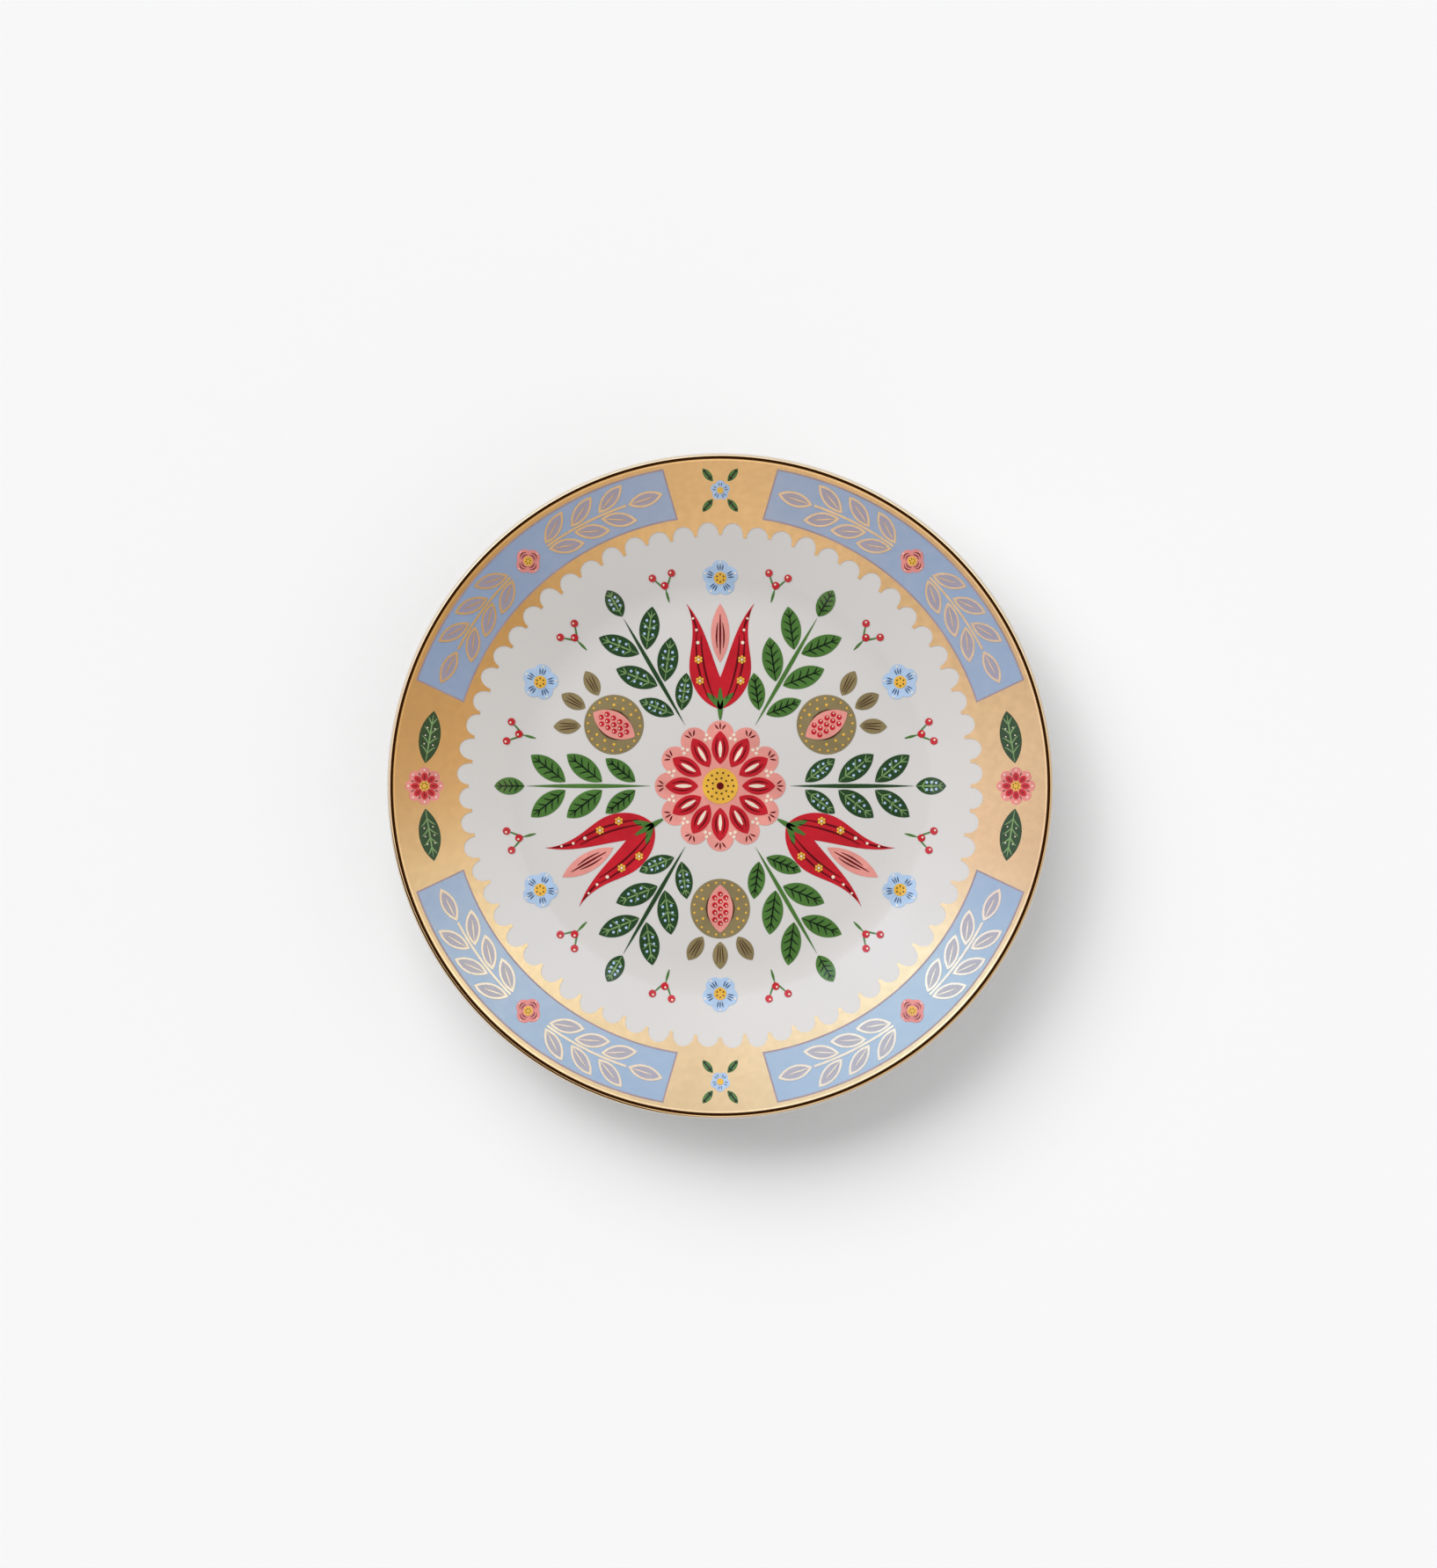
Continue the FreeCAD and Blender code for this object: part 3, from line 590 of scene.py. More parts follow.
class Border:
    """Plan of the gold border: scallops and the windows for the panels."""

    def __init__(self, section, decoration):
        self.section = section
        self.decoration = decoration
        self.step = TURN / decoration.scallops
        self.cusp_radius = section.sizes.dish_radius - decoration.border_width
        self.crest_radius = self.cusp_radius * (1 + self.step * decoration.scallop_depth)
        self.panel_inner = self.crest_radius + decoration.panel_well_margin
        self.panel_outer = section.sizes.dish_radius - decoration.panel_rim_margin
        self.panel_middle = (self.panel_inner + self.panel_outer) / 2
        self.motif_height = self.panel_outer - self.panel_inner
        self.rim = section.flange_point(section.sizes.rim_line_width, 0.0).x

    def brushed(self, radius, beat, number):
        """Radius of a tip or a crest of the scallops, each a little unlike the next."""
        swing = math.sin(beat * (number % self.decoration.scallops))
        return radius + self.decoration.scallop_wobble * (1 + swing)

    def scallop_point(self, turn):
        """Point of the scalloped edge: an oval scallop between two blunt tips."""
        segments = self.decoration.scallop_segments
        number, column = divmod(round(turn / self.step * segments), segments)
        start = self.brushed(self.cusp_radius, TIP_BEAT, number)
        if column == 0:
            return polar(start, number * self.step)
        along = (column - 1) / (segments - 2)
        end = self.brushed(self.cusp_radius, TIP_BEAT, number + 1)
        crest = self.brushed(self.crest_radius, CREST_BEAT, number)
        low = start * (1 - along) + end * along
        across = (1 - self.decoration.tip_share) * math.cos(math.pi * along) / 2
        return polar(low + (crest - low) * math.sin(math.pi * along), (number + 0.5 - across) * self.step)

    def sheet(self):
        """Upper surface of the whole border, cut along the sides of every panel."""
        rise = self.decoration.enamel_thickness
        lathe = Lathe(Vector((self.cusp_radius, self.section.height(self.cusp_radius, rise))))
        line = self.decoration.outline_width
        rows = (
            (self.panel_inner, 6), (self.panel_inner + line, 1),
            (self.panel_outer - line, 8), (self.panel_outer, 1), (self.rim, 1),
        )
        for radius, steps in rows:
            lathe.line(Vector((radius, self.section.height(radius, rise))), steps)
        mesh = lathe.turned(self.decoration.scallops * self.decoration.scallop_segments)
        self.shape_scallops(mesh)
        self.cut_panels(mesh)
        raise_sheet(mesh, self.section, rise)
        return mesh

    def shape_scallops(self, mesh):
        """Draws the innermost rows of the border on to the scalloped edge."""
        depth = self.panel_inner - self.cusp_radius
        for vert in mesh.verts:
            plan = vert.co.xy
            outward = (plan.length - self.cusp_radius) / depth
            if outward < 1.0 - ROW_SLACK:
                turn = math.atan2(plan.y, plan.x) % TURN
                edge = polar(self.panel_inner, turn)
                vert.co.xy = self.scallop_point(turn).lerp(edge, max(0.0, outward))

    def side_line(self, centre, hand, inset=0.0):
        """Two points of a panel's side, or of a line at an inset from it."""
        outer = polar(self.panel_outer, centre + hand * self.decoration.panel_outer_half)
        inner = polar(self.panel_inner, centre + hand * self.decoration.panel_inner_half)
        along = (outer - inner).normalized()
        shift = Vector((along.y, -along.x)) * hand * inset
        return inner + shift, outer + shift

    def cut_panels(self, mesh):
        """Cuts the sheet along the sides of the panels and of the lines inside them."""
        insets = (0.0, self.decoration.outline_width)
        for centre, hand, inset in ((c, h, i) for c in PANEL_CENTRES for h in HANDS for i in insets):
            self.cut(mesh, *self.side_line(centre, hand, inset))

    def cut(self, mesh, inner, outer):
        """Cuts the sheet along a line, near the line alone."""
        reach = (self.rim - self.cusp_radius) * CUT_REACH
        along = (outer - inner).normalized()
        middle = (inner + outer) / 2
        near = [face for face in mesh.faces if (face.calc_center_median().xy - middle).length < reach]
        parts = {item for face in near for item in (face, *face.edges, *face.verts)}
        bmesh.ops.bisect_plane(
            mesh, geom=list(parts), dist=WELD,
            plane_co=(inner.x, inner.y, 0.0), plane_no=(-along.y, along.x, 0.0),
        )

    def in_panel(self, face, centre, inset=0.0):
        """Whether a face of the sheet lies in the panel at an angle, at least an inset from its edge."""
        plan = Matrix.Rotation(-centre, 2) @ face.calc_center_median().xy
        if plan.x < 0.0:
            return False
        inner, outer = self.side_line(0.0, 1, inset)
        side = outer - inner
        inside = side.x * (abs(plan.y) - inner.y) - side.y * (plan.x - inner.x) < 0.0
        return inside and self.panel_inner + inset < plan.length < self.panel_outer - inset

    def in_gold(self, face):
        """Whether a face of the sheet lies outside every panel."""
        return not any(self.in_panel(face, centre) for centre in PANEL_CENTRES)


def keep_faces(mesh, wanted):
    """Copy of a sheet with only the wanted faces."""
    made = mesh.copy()
    spare = [face for face in made.faces if not wanted(face)]
    bmesh.ops.delete(made, geom=spare, context="FACES")
    return made


def raise_sheet(mesh, section, rise):
    """Lays a sheet over the dish at a rise above the glaze, with its faces upwards."""
    for vert in mesh.verts:
        vert.co = section.over(vert.co.xy, rise)
    mesh.normal_update()
    for face in mesh.faces:
        if face.normal.z < 0.0:
            face.normal_flip()


def thicken(mesh, thickness):
    """Gives a sheet its thickness downwards."""
    bmesh.ops.solidify(mesh, geom=mesh.faces[:], thickness=thickness)


class DISH_OT_border(bpy.types.Operator):
    """Makes the gold border, the enamel panels in it and the lines round them"""

    bl_idname = "dish.border"
    bl_label = "Border and panels"

    def execute(self, context):
        colours = context.scene.dish_colours
        decoration = context.scene.dish_decoration
        layer, rise, width = decoration.enamel_thickness, decoration.brush_rise, decoration.outline_width
        border = Border(Section(context.scene.dish_sizes), decoration)
        sheet = border.sheet()
        gold = keep_faces(sheet, border.in_gold)
        thicken(gold, layer)
        finish = gold_finish("satin gold", colours.gold)
        add_piece("dish_border_gold", gold, finish, "bright_gold", "gold_border")
        blue = lustre_finish("blue ground enamel", colours.blue, colours.lavender)
        mauve = enamel_finish("mauve line", colours.mauve)
        for number, centre in enumerate(PANEL_CENTRES, 1):
            panel = keep_faces(sheet, lambda face: border.in_panel(face, centre))
            line = keep_faces(panel, lambda face: not border.in_panel(face, centre, width))
            raise_sheet(line, border.section, layer + rise / 2)
            thicken(line, rise)
            add_piece(f"panel_line_{number}", line, mauve, "blue_enamel")
            thicken(panel, layer)
            add_piece(f"dish_panel_{number}", panel, blue, "blue_enamel", f"blue_panel_{number}")
        sheet.free()
        return {"FINISHED"}


# Brushwork
#
# Motifs are drawn along +X and turned into place. Sizes are shares of a unit: the roundel's radius in the
# well, the panels' height on the rim. A row of strokes has start and end, each along and across, width, and
# bow to the left.

STROKE_STEPS = 6
STROKE_END = 0.3
DOT_SIDES = 12
BRUSH_SLOTS = {
    "ink": "dark_green_enamel", "pale_green": "leaf_green_enamel", "leaf_green": "leaf_green_enamel",
    "sky": "sky_enamel", "navy": "blue_enamel", "red": "red_enamel", "dark_red": "red_enamel",
    "yellow": "yellow_enamel", "cream": "yellow_enamel", "brown": "tan_enamel",
}


def spot(along, across=0.0):
    """Point of a motif."""
    return Vector((along, across))


def mirrored(rows):
    """Rows of strokes for one side of a motif, and for its other side."""
    return tuple(
        (start, hand * start_out, end, hand * end_out, width, hand * bow)
        for hand in HANDS for start, start_out, end, end_out, width, bow in rows
    )


def left_of(along):
    """Direction to the left of another."""
    return Vector((-along.y, along.x)).normalized()


class Brush:
    """Strokes and dots of one colour, painted on the upper side of the dish."""

    def __init__(self, scene, unit):
        decoration = scene.dish_decoration
        self.colours = scene.dish_colours
        self.section = Section(scene.dish_sizes)
        self.unit = unit
        self.layer = decoration.enamel_thickness
        self.rise = decoration.brush_rise
        self.fine = decoration.fine_line / unit
        self.mesh = bmesh.new()
        self.face(0.0, 0)

    def face(self, turn, level):
        """Turns the drawing about the axis, and says how many layers lie below it."""
        self.turn = Matrix.Rotation(turn, 2)
        self.level = level
        return self

    def over(self, point):
        """Place on the dish of a point of the drawing."""
        return self.section.over(self.turn @ point * self.unit, self.level * self.layer + self.rise)

    def stroke(self, start, end, width, bow=0.0):
        """Stroke between two points, thin at both ends and bowed to its left."""
        along = end - start
        left = left_of(along)
        grid = bmesh.ops.create_grid(self.mesh, x_segments=STROKE_STEPS, y_segments=1, size=0.5)
        for vert in grid["verts"]:
            run = vert.co.x + 0.5
            swell = STROKE_END + (1 - STROKE_END) * math.sin(math.pi * run)
            out = 4 * bow * run * (1 - run) + vert.co.y * width * swell
            vert.co = self.over(start + along * run + left * out)

    def strokes(self, rows, place=spot):
        for start, start_out, end, end_out, width, bow in rows:
            self.stroke(place(start, start_out), place(end, end_out), width, bow)

    def rays(self, centre, reach, number, width, swings=(0.0,), first=0.0):
        """Strokes that point away from a centre, at one or more swings from each of a number of headings."""
        for heading in (first + step * TURN / number + swing for step in range(number) for swing in swings):
            start, end = (centre + polar(out, heading) for out in reach)
            self.stroke(start, end, width)

    def dot(self, centre, radius):
        circle = bmesh.ops.create_circle(self.mesh, cap_ends=True, segments=DOT_SIDES, radius=radius)
        for vert in circle["verts"]:
            vert.co = self.over(centre + vert.co.xy)

    def ring(self, centre, reach, number, radius, first=0.0):
        """Ring of dots about a centre."""
        for step in range(number):
            self.dot(centre + polar(reach, first + step * TURN / number), radius)

    def finish(self, name, material, slot):
        """Makes a piece of what was painted."""
        thicken(self.mesh, self.rise)
        add_piece(name, self.mesh, material, slot)

    def enamel(self, name, colour_name):
        """Makes a piece of what was painted, in one of the dish's colours."""
        title = colour_name.replace("_", " ") + " brushwork"
        material = bpy.data.materials.get(title) or enamel_finish(title, getattr(self.colours, colour_name))
        self.finish(name, material, BRUSH_SLOTS[colour_name])


def brushes(scene, unit, number):
    return [Brush(scene, unit) for _ in range(number)]


# Leaves: widest place and narrowing, rib, first and last vein, reach and bow of a vein, dots along and out
LEAF_BELLY, LEAF_TAPER = 0.46, 0.58
RIB_RUN, RIB_WIDTH = (0.03, 0.92), 1.3
VEIN_FIRST, VEIN_LAST = 0.18, 0.72
VEIN_AHEAD, VEIN_ALONG, VEIN_OUT, VEIN_BOW = 0.12, 0.15, 0.76, -0.08
LEAF_DOTS = ((0.36, 0.42), (0.52, 0.44), (0.67, 0.36))

# Sprays: start, length and width of each pair of leaves; start, end and width of the leaf at the tip
SPRAY_TURNS = turns(*range(0, 360, 60))
SPRAY_PAIRS = ((0.37, 0.165, 0.074), (0.515, 0.195, 0.09), (0.675, 0.19, 0.086))
SPRAY_GAP = 0.018
SPRAY_ANGLE = math.radians(38)
SPRAY_TIP = (0.853, 0.983, 0.075)

# Berries, to both sides of a spray: distance and degrees of each
BERRY_SWING = math.radians(14.5)
BERRY_STALK, BERRY_FORK = spot(0.83), spot(0.885)
BERRIES = ((0.905, 0.0), (0.95, 2.6), (0.95, -2.6))
BERRY_LIGHT = spot(0.004, 0.004)


def leaf_veins(brush, base, tip, width, pairs):
    """Midrib and side veins of a leaf."""
    along = tip - base
    left = left_of(along)
    start, end = (base + along * run for run in RIB_RUN)
    brush.stroke(start, end, brush.fine * RIB_WIDTH)
    for pair in range(pairs):
        run = VEIN_FIRST + (VEIN_LAST - VEIN_FIRST) * pair / (pairs - 1)
        root = base + along * run
        half = width / 2 * (1 - ((run + VEIN_AHEAD - LEAF_BELLY) / LEAF_TAPER) ** 2)
        for hand in HANDS:
            end = root + along * VEIN_ALONG + left * (hand * half * VEIN_OUT)
            brush.stroke(root, end, brush.fine, hand * half * VEIN_BOW)


def leaf_dots(brush, base, tip, width, radius):
    """Dots along both sides of a leaf's midrib."""
    along = tip - base
    left = left_of(along)
    for run, out in LEAF_DOTS:
        for hand in HANDS:
            brush.dot(base + along * run + left * (hand * width / 2 * out), radius)


def spray_leaves():
    """Base, tip and width of every leaf of a spray."""
    for start, reach, width in SPRAY_PAIRS:
        for hand in HANDS:
            base = spot(start, hand * SPRAY_GAP)
            yield base, base + polar(reach, hand * SPRAY_ANGLE), width
    start, end, width = SPRAY_TIP
    yield spot(start), spot(end), width


def roundel_radius(scene):
    decoration = scene.dish_decoration
    return scene.dish_sizes.dish_radius - decoration.border_width - decoration.roundel_margin


class DISH_OT_leaf_lines(bpy.types.Operator):
    """Paints veins and dots on the leaves in the well, and sprigs of berries between them"""

    bl_idname = "dish.leaf_lines"
    bl_label = "Leaf lines"

    def execute(self, context):
        scene = context.scene
        unit = roundel_radius(scene)
        ink, pale, dots = brushes(scene, unit, 3)
        for number, turn in enumerate(SPRAY_TURNS):
            for base, tip, width in spray_leaves():
                if number % 2:
                    leaf_veins(ink.face(turn, 1), base, tip, width, pairs=4)
                else:
                    leaf_veins(pale.face(turn, 1), base, tip, width, pairs=3)
                    leaf_dots(dots.face(turn, 1), base, tip, width, radius=0.006)
        ink.enamel("leaf_veins_ink", "ink")
        pale.enamel("leaf_veins_pale", "pale_green")
        dots.enamel("leaf_dots", "sky")
        self.berries(scene, unit)
        return {"FINISHED"}

    def berries(self, scene, unit):
        """Three berries on a forked stalk, to each side of every spray's tip."""
        stalks, fruit, lights = brushes(scene, unit, 3)
        for heading in (turn + hand * BERRY_SWING for turn in SPRAY_TURNS for hand in HANDS):
            stalks.face(heading, 0).stroke(BERRY_STALK, BERRY_FORK, width=0.011)
            for out, degrees in BERRIES:
                place = polar(out, math.radians(degrees))
                stalks.stroke(BERRY_FORK, place, width=0.008)
                fruit.face(heading, 1).dot(place, radius=0.0165)
                lights.face(heading, 2).dot(place + BERRY_LIGHT, radius=0.0045)
        stalks.enamel("berry_stalks", "leaf_green")
        fruit.enamel("berries", "red")
        lights.enamel("berry_lights", "cream")


# Rosette: strokes on each petal, and on each lobe behind the petals
ROSETTE_PETALS = 12
PETAL_EDGES = ((0.125, 0.011, 0.21, 0.010, 0.0065, 0.009),)
LOBE_LINES = ((0.247, 0.008, 0.268, 0.024, 0.007, 0.0),)

# Tulips: turns, place and size, then strokes, stars and dots in shares of length and half width
TULIP_TURNS = turns(90, 210, 330)
TULIP_START, TULIP_LENGTH, TULIP_HALF = 0.335, 0.46, 0.148
WING_LINES = (
    (0.10, 0.18, 0.70, 0.56, 0.009, 0.10 * TULIP_HALF), (0.10, 0.34, 0.72, 0.70, 0.009, 0.13 * TULIP_HALF),
    (0.72, 0.66, 0.94, 0.90, 0.009, -0.02 * TULIP_HALF), (0.58, 0.09, 0.82, 0.07, 0.007, 0.004),
)
CUP_LINE = ((0.52, 0.0, 0.90, 0.0, 0.009, 0.0),)
SIDE_SEPALS = ((0.0, 0.0, 0.15, 0.40, 0.026, -0.006),)
MIDDLE_SEPAL = ((-0.10, 0.0, 0.20, 0.0, 0.026, 0.0),)
WING_STARS = ((0.27, 0.60), (0.47, 0.64))
WING_DOTS = ((0.63, 0.66, 0.0075), (0.75, 0.70, 0.006), (0.86, 0.80, 0.005))

# Small blossoms round the roundel
BLOSSOM_TURNS = turns(*range(30, 390, 60))
BLOSSOM_CENTRE = spot(0.905)


def tulip_spot(run, out):
    """Point of a tulip, in shares of its length and half width."""
    return spot(TULIP_START + TULIP_LENGTH * run, TULIP_HALF * out)


class DISH_OT_flower_lines(bpy.types.Operator):
    """Paints strokes and dots on the flowers in the well"""

    bl_idname = "dish.flower_lines"
    bl_label = "Flower lines"

    def execute(self, context):
        scene = context.scene
        dark, cream, yellow, navy, green, brown = brushes(scene, roundel_radius(scene), 6)
        self.rosette(dark, cream, brown)
        for turn in TULIP_TURNS:
            self.tulip(turn, dark, cream, yellow, green)
        for turn in BLOSSOM_TURNS:
            self.blossom(turn, navy, cream, brown)
        dark.enamel("flower_strokes_dark", "dark_red")
        cream.enamel("flower_strokes_cream", "cream")
        yellow.enamel("flower_dots_yellow", "yellow")
        navy.enamel("blossom_strokes", "navy")
        green.enamel("tulip_sepals", "leaf_green")
        brown.enamel("flower_dots_brown", "brown")
        return {"FINISHED"}

    def rosette(self, dark, cream, brown):
        centre = spot(0.0)
        step = TURN / ROSETTE_PETALS
        cream.face(0.0, 2).rays(centre, (0.125, 0.195), ROSETTE_PETALS, width=0.016)
        dark.face(0.0, 1).rays(centre, (0.248, 0.276), ROSETTE_PETALS, width=0.007)
        for number in range(ROSETTE_PETALS):
            dark.face(number * step, 2).strokes(mirrored(PETAL_EDGES))
            dark.face(number * step, 1).strokes(mirrored(LOBE_LINES))
            cream.face((number + 0.5) * step, 1).ring(spot(0.218), 0.012, 3, radius=0.0075)
        for reach, dots in ((0.058, 14), (0.034, 9)):
            brown.face(0.0, 2).ring(centre, reach, dots, radius=0.0045)
        dark.face(0.0, 2).dot(centre, radius=0.016)

    def tulip(self, turn, dark, cream, yellow, green):
        dark.face(turn, 1).strokes(mirrored(WING_LINES) + CUP_LINE, tulip_spot)
        green.face(turn, 1).strokes(mirrored(SIDE_SEPALS) + MIDDLE_SEPAL, tulip_spot)
        yellow.face(turn, 2)
        cream.face(turn, 2)
        for hand in HANDS:
            for run, out in WING_STARS:
                centre = tulip_spot(run, hand * out)
                yellow.ring(centre, 0.0125, 6, radius=0.0058)
                cream.dot(centre, radius=0.0055)
            for run, out, radius in WING_DOTS:
                cream.dot(tulip_spot(run, hand * out), radius)

    def blossom(self, turn, navy, cream, brown):
        navy.face(turn, 1).rays(BLOSSOM_CENTRE, (0.034, 0.060), 5, width=0.0055, swings=(-0.22, 0.0, 0.22))
        cream.face(turn, 1).ring(BLOSSOM_CENTRE, 0.069, 5, radius=0.0045)
        brown.face(turn, 2).ring(BLOSSOM_CENTRE, 0.016, 6, radius=0.0035)


# Fruit: distance and degrees of the dots on its sides, number and offset of the seeds in each row
FRUIT_TURNS = turns(30, 150, 270)
FRUIT_CENTRE = spot(0.535)
SKIN_DOTS = 20
CHEEK_DOTS = ((0.086, -30), (0.080, 0), (0.086, 30))
FRUIT_SEAMS = ((0.432, 0.0, 0.638, 0.0, 0.008, 0.060),)
CROWN_LEAVES = turns(-32, 0, 32)
CROWN_SWINGS = ((-0.05, -0.06), (0.0, 0.0), (0.05, 0.06))
SEED_ROWS = ((5, 0.0), (4, 0.024), (4, -0.024))
SEED_PITCH = 0.032
SEED_LIGHT = spot(0.003, 0.003)


class DISH_OT_fruit_lines(bpy.types.Operator):
    """Paints seeds, dots and lines on the fruit"""

    bl_idname = "dish.fruit_lines"
    bl_label = "Fruit lines"

    def execute(self, context):
        scene = context.scene
        dots, brown, seeds, lights = brushes(scene, roundel_radius(scene), 4)
        for turn in FRUIT_TURNS:
            self.skin(turn, dots, brown)
            self.seeds(turn, seeds, lights)
        dots.enamel("fruit_dots", "yellow")
        brown.enamel("fruit_lines", "brown")
        seeds.enamel("fruit_seeds", "red")
        lights.enamel("seed_lights", "cream")
        return {"FINISHED"}

    def skin(self, turn, dots, brown):
        dots.face(turn, 1).ring(FRUIT_CENTRE, 0.114, SKIN_DOTS, radius=0.0048, first=TURN / SKIN_DOTS / 2)
        for hand in HANDS:
            for reach, degrees in CHEEK_DOTS:
                dots.dot(FRUIT_CENTRE + polar(reach, hand * QUARTER + math.radians(degrees)), radius=0.0062)
        brown.face(turn, 1).strokes(mirrored(FRUIT_SEAMS))
        for heading in CROWN_LEAVES:
            for inner, outer in CROWN_SWINGS:
                start, end = polar(0.160, heading + inner), polar(0.238, heading + outer)
                brown.stroke(FRUIT_CENTRE + start, FRUIT_CENTRE + end, width=0.005)

    def seeds(self, turn, seeds, lights):
        for row, out in SEED_ROWS:
            for number in range(row):
                place = FRUIT_CENTRE + spot((number - (row - 1) / 2) * SEED_PITCH, out)
                seeds.face(turn, 2).dot(place, radius=0.0115)
                lights.face(turn, 3).dot(place + SEED_LIGHT, radius=0.0034)


# Laurel: pairs of leaves along a stem, and the run of the rib in each leaf
LAUREL_PAIRS = 3
LAUREL_FIRST, LAUREL_STEP = 0.465, 0.59
LAUREL_GAP = 0.06
LAUREL_ANGLE = math.radians(26)
LAUREL_LENGTH = 0.704
LAUREL_RIB = (0.12, 0.70)

# Rim flowers: reach, swing and bow of the panel flowers' lines; run and width of the side flowers' leaves
QUATREFOIL_LINES = ((0.125, 0.62, 0.030), (0.165, 0.50, 0.042))
SIDE_PETALS = 8
SIDE_LEAF_RUN, SIDE_LEAF_WIDTH = (0.44, 1.47), 0.4
END_LEAVES = turns(40, 140, 220, 320)


class DISH_OT_rim_lines(bpy.types.Operator):
    """Paints ribs on the laurel and lines on the flowers and leaves of the rim"""

    bl_idname = "dish.rim_lines"
    bl_label = "Rim lines"

    def execute(self, context):
        scene = context.scene
        border = Border(Section(scene.dish_sizes), scene.dish_decoration)
        unit = border.motif_height
        middle = border.panel_middle / unit
        gold, dark, cream, ink, pale, navy, brown = brushes(scene, unit, 7)
        for turn in PANEL_CENTRES:
            self.laurel(middle, gold.face(turn, 2))
            self.quatrefoil(spot(middle), turn, dark, cream, brown)
        for turn in (0.0, math.pi):
            self.side(middle, turn, dark, cream, pale, brown)
        for turn in (QUARTER, -QUARTER):
            self.end(spot(middle), turn, navy, ink)
        gold.finish("laurel_ribs", gold_finish("rib gold", scene.dish_colours.pen_gold), "bright_gold")
        dark.enamel("rim_strokes_dark", "dark_red")
        cream.enamel("rim_dots_cream", "cream")
        ink.enamel("rim_veins_ink", "ink")
        pale.enamel("rim_veins_pale", "pale_green")
        navy.enamel("rim_strokes_navy", "navy")
        brown.enamel("rim_dots_brown", "brown")
        return {"FINISHED"}

    def laurel(self, middle, gold):
        """Rib in every leaf of a garland."""
        turns = [(LAUREL_FIRST + pair * LAUREL_STEP) / middle for pair in range(LAUREL_PAIRS + 1)]
        last = turns.pop()
        leaves = [(polar(middle, last), last + QUARTER)]
        for side in HANDS:
            for turn in turns:
                base = polar(middle + side * LAUREL_GAP, turn)
                leaves.append((base, turn + QUARTER - side * LAUREL_ANGLE))
        for base, heading in leaves:
            start, end = (base + polar(LAUREL_LENGTH * run, heading) for run in LAUREL_RIB)
            gold.strokes(mirrored([(*start, *end, gold.fine, 0.0)]))

    def quatrefoil(self, centre, turn, dark, cream, brown):
        dark.face(turn, 2)
        for heading in (lobe * QUARTER for lobe in range(4)):
            for reach, swing, bow in QUATREFOIL_LINES:
                start, end = (centre + polar(reach, heading - hand * swing) for hand in HANDS)
                dark.stroke(start, end, 0.022, bow)
        cream.face(turn, 2).ring(centre, 0.225, 4, radius=0.013)
        brown.face(turn, 3).ring(centre, 0.045, 6, radius=0.012)

    def side(self, middle, turn, dark, cream, pale, brown):
        centre = spot(middle)
        dark.face(turn, 2).rays(centre, (0.21, 0.28), SIDE_PETALS, width=0.02, first=TURN / SIDE_PETALS / 2)
        dark.face(turn, 3).rays(centre, (0.13, 0.22), SIDE_PETALS, width=0.018)
        cream.face(turn, 2).ring(centre, 0.31, SIDE_PETALS, radius=0.018)
        brown.face(turn, 3).ring(centre, 0.055, 7, radius=0.013)
        for hand in HANDS:
            base, tip = (polar(middle, hand * run / middle) for run in SIDE_LEAF_RUN)
            leaf_veins(pale.face(turn, 2), base, tip, SIDE_LEAF_WIDTH, pairs=4)
            leaf_dots(cream.face(turn, 2), base, tip, SIDE_LEAF_WIDTH, radius=0.014)

    def end(self, centre, turn, navy, ink):
        navy.face(turn, 2).rays(centre, (0.085, 0.15), 5, width=0.016, swings=(-0.2, 0.2))
        for heading in END_LEAVES:
            base = centre + polar(0.222, heading)
            leaf_veins(ink.face(turn, 2), base, base + polar(0.314, heading), width=0.138, pairs=2)


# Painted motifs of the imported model

# Colours, and the starts of the names of the nodes that have them
PAINTED = {
    "pink": ("quatrefoil_1", "quatrefoil_2", "quatrefoil_3", "quatrefoil_4", "side_rosette"),
    "coral": ("tulip_cup", "pomegranate_seeds", "centre_rosette"),
    "red": ("tulip_wings", "side_petals", "centre_petals"),
    "yellow": ("quatrefoil_hearts", "ornament_hearts", "ring_hearts", "centre_heart"),
    "dark_green": ("leaf_spray_1", "leaf_spray_3", "leaf_spray_5", "side_leaves"),
    "leaf_green": ("leaf_spray_2", "leaf_spray_4", "leaf_spray_6", "end_leaves"),
    "tan": ("pomegranate_1", "pomegranate_2", "pomegranate_3"),
    "sky": ("end_blossom", "ring_blossom"),
}


class DISH_OT_painted(bpy.types.Operator):
    """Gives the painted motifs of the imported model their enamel"""

    bl_idname = "dish.painted"
    bl_label = "Painted motifs"

    def execute(self, context):
        colours = context.scene.dish_colours
        for name, prefixes in PAINTED.items():
            dress(prefixes, enamel_finish(name.replace("_", " ") + " enamel", getattr(colours, name)))
        dress(("laurel_leaf",), lustre_finish("lavender enamel", colours.lavender, colours.blue))
        dress(("laurel_outline",), gold_finish("pen gold", colours.pen_gold))
        return {"FINISHED"}


# Stage

# Colours of the room that polished surfaces mirror, by the direction they lie in
ROOM_SIDES = (
    (-180, (1.08, 1.01, 1.14)), (-135, (0.94, 0.81, 0.74)), (-90, (1.03, 0.86, 0.73)),
    (-40, (0.66, 0.49, 0.30)), (0, (0.83, 0.63, 0.45)), (40, (1.42, 1.54, 1.73)), (85, (1.12, 1.12, 1.27)),
    (140, (1.48, 1.79, 2.36)), (165, (1.10, 1.00, 1.17)), (180, (1.08, 1.01, 1.14)),
)
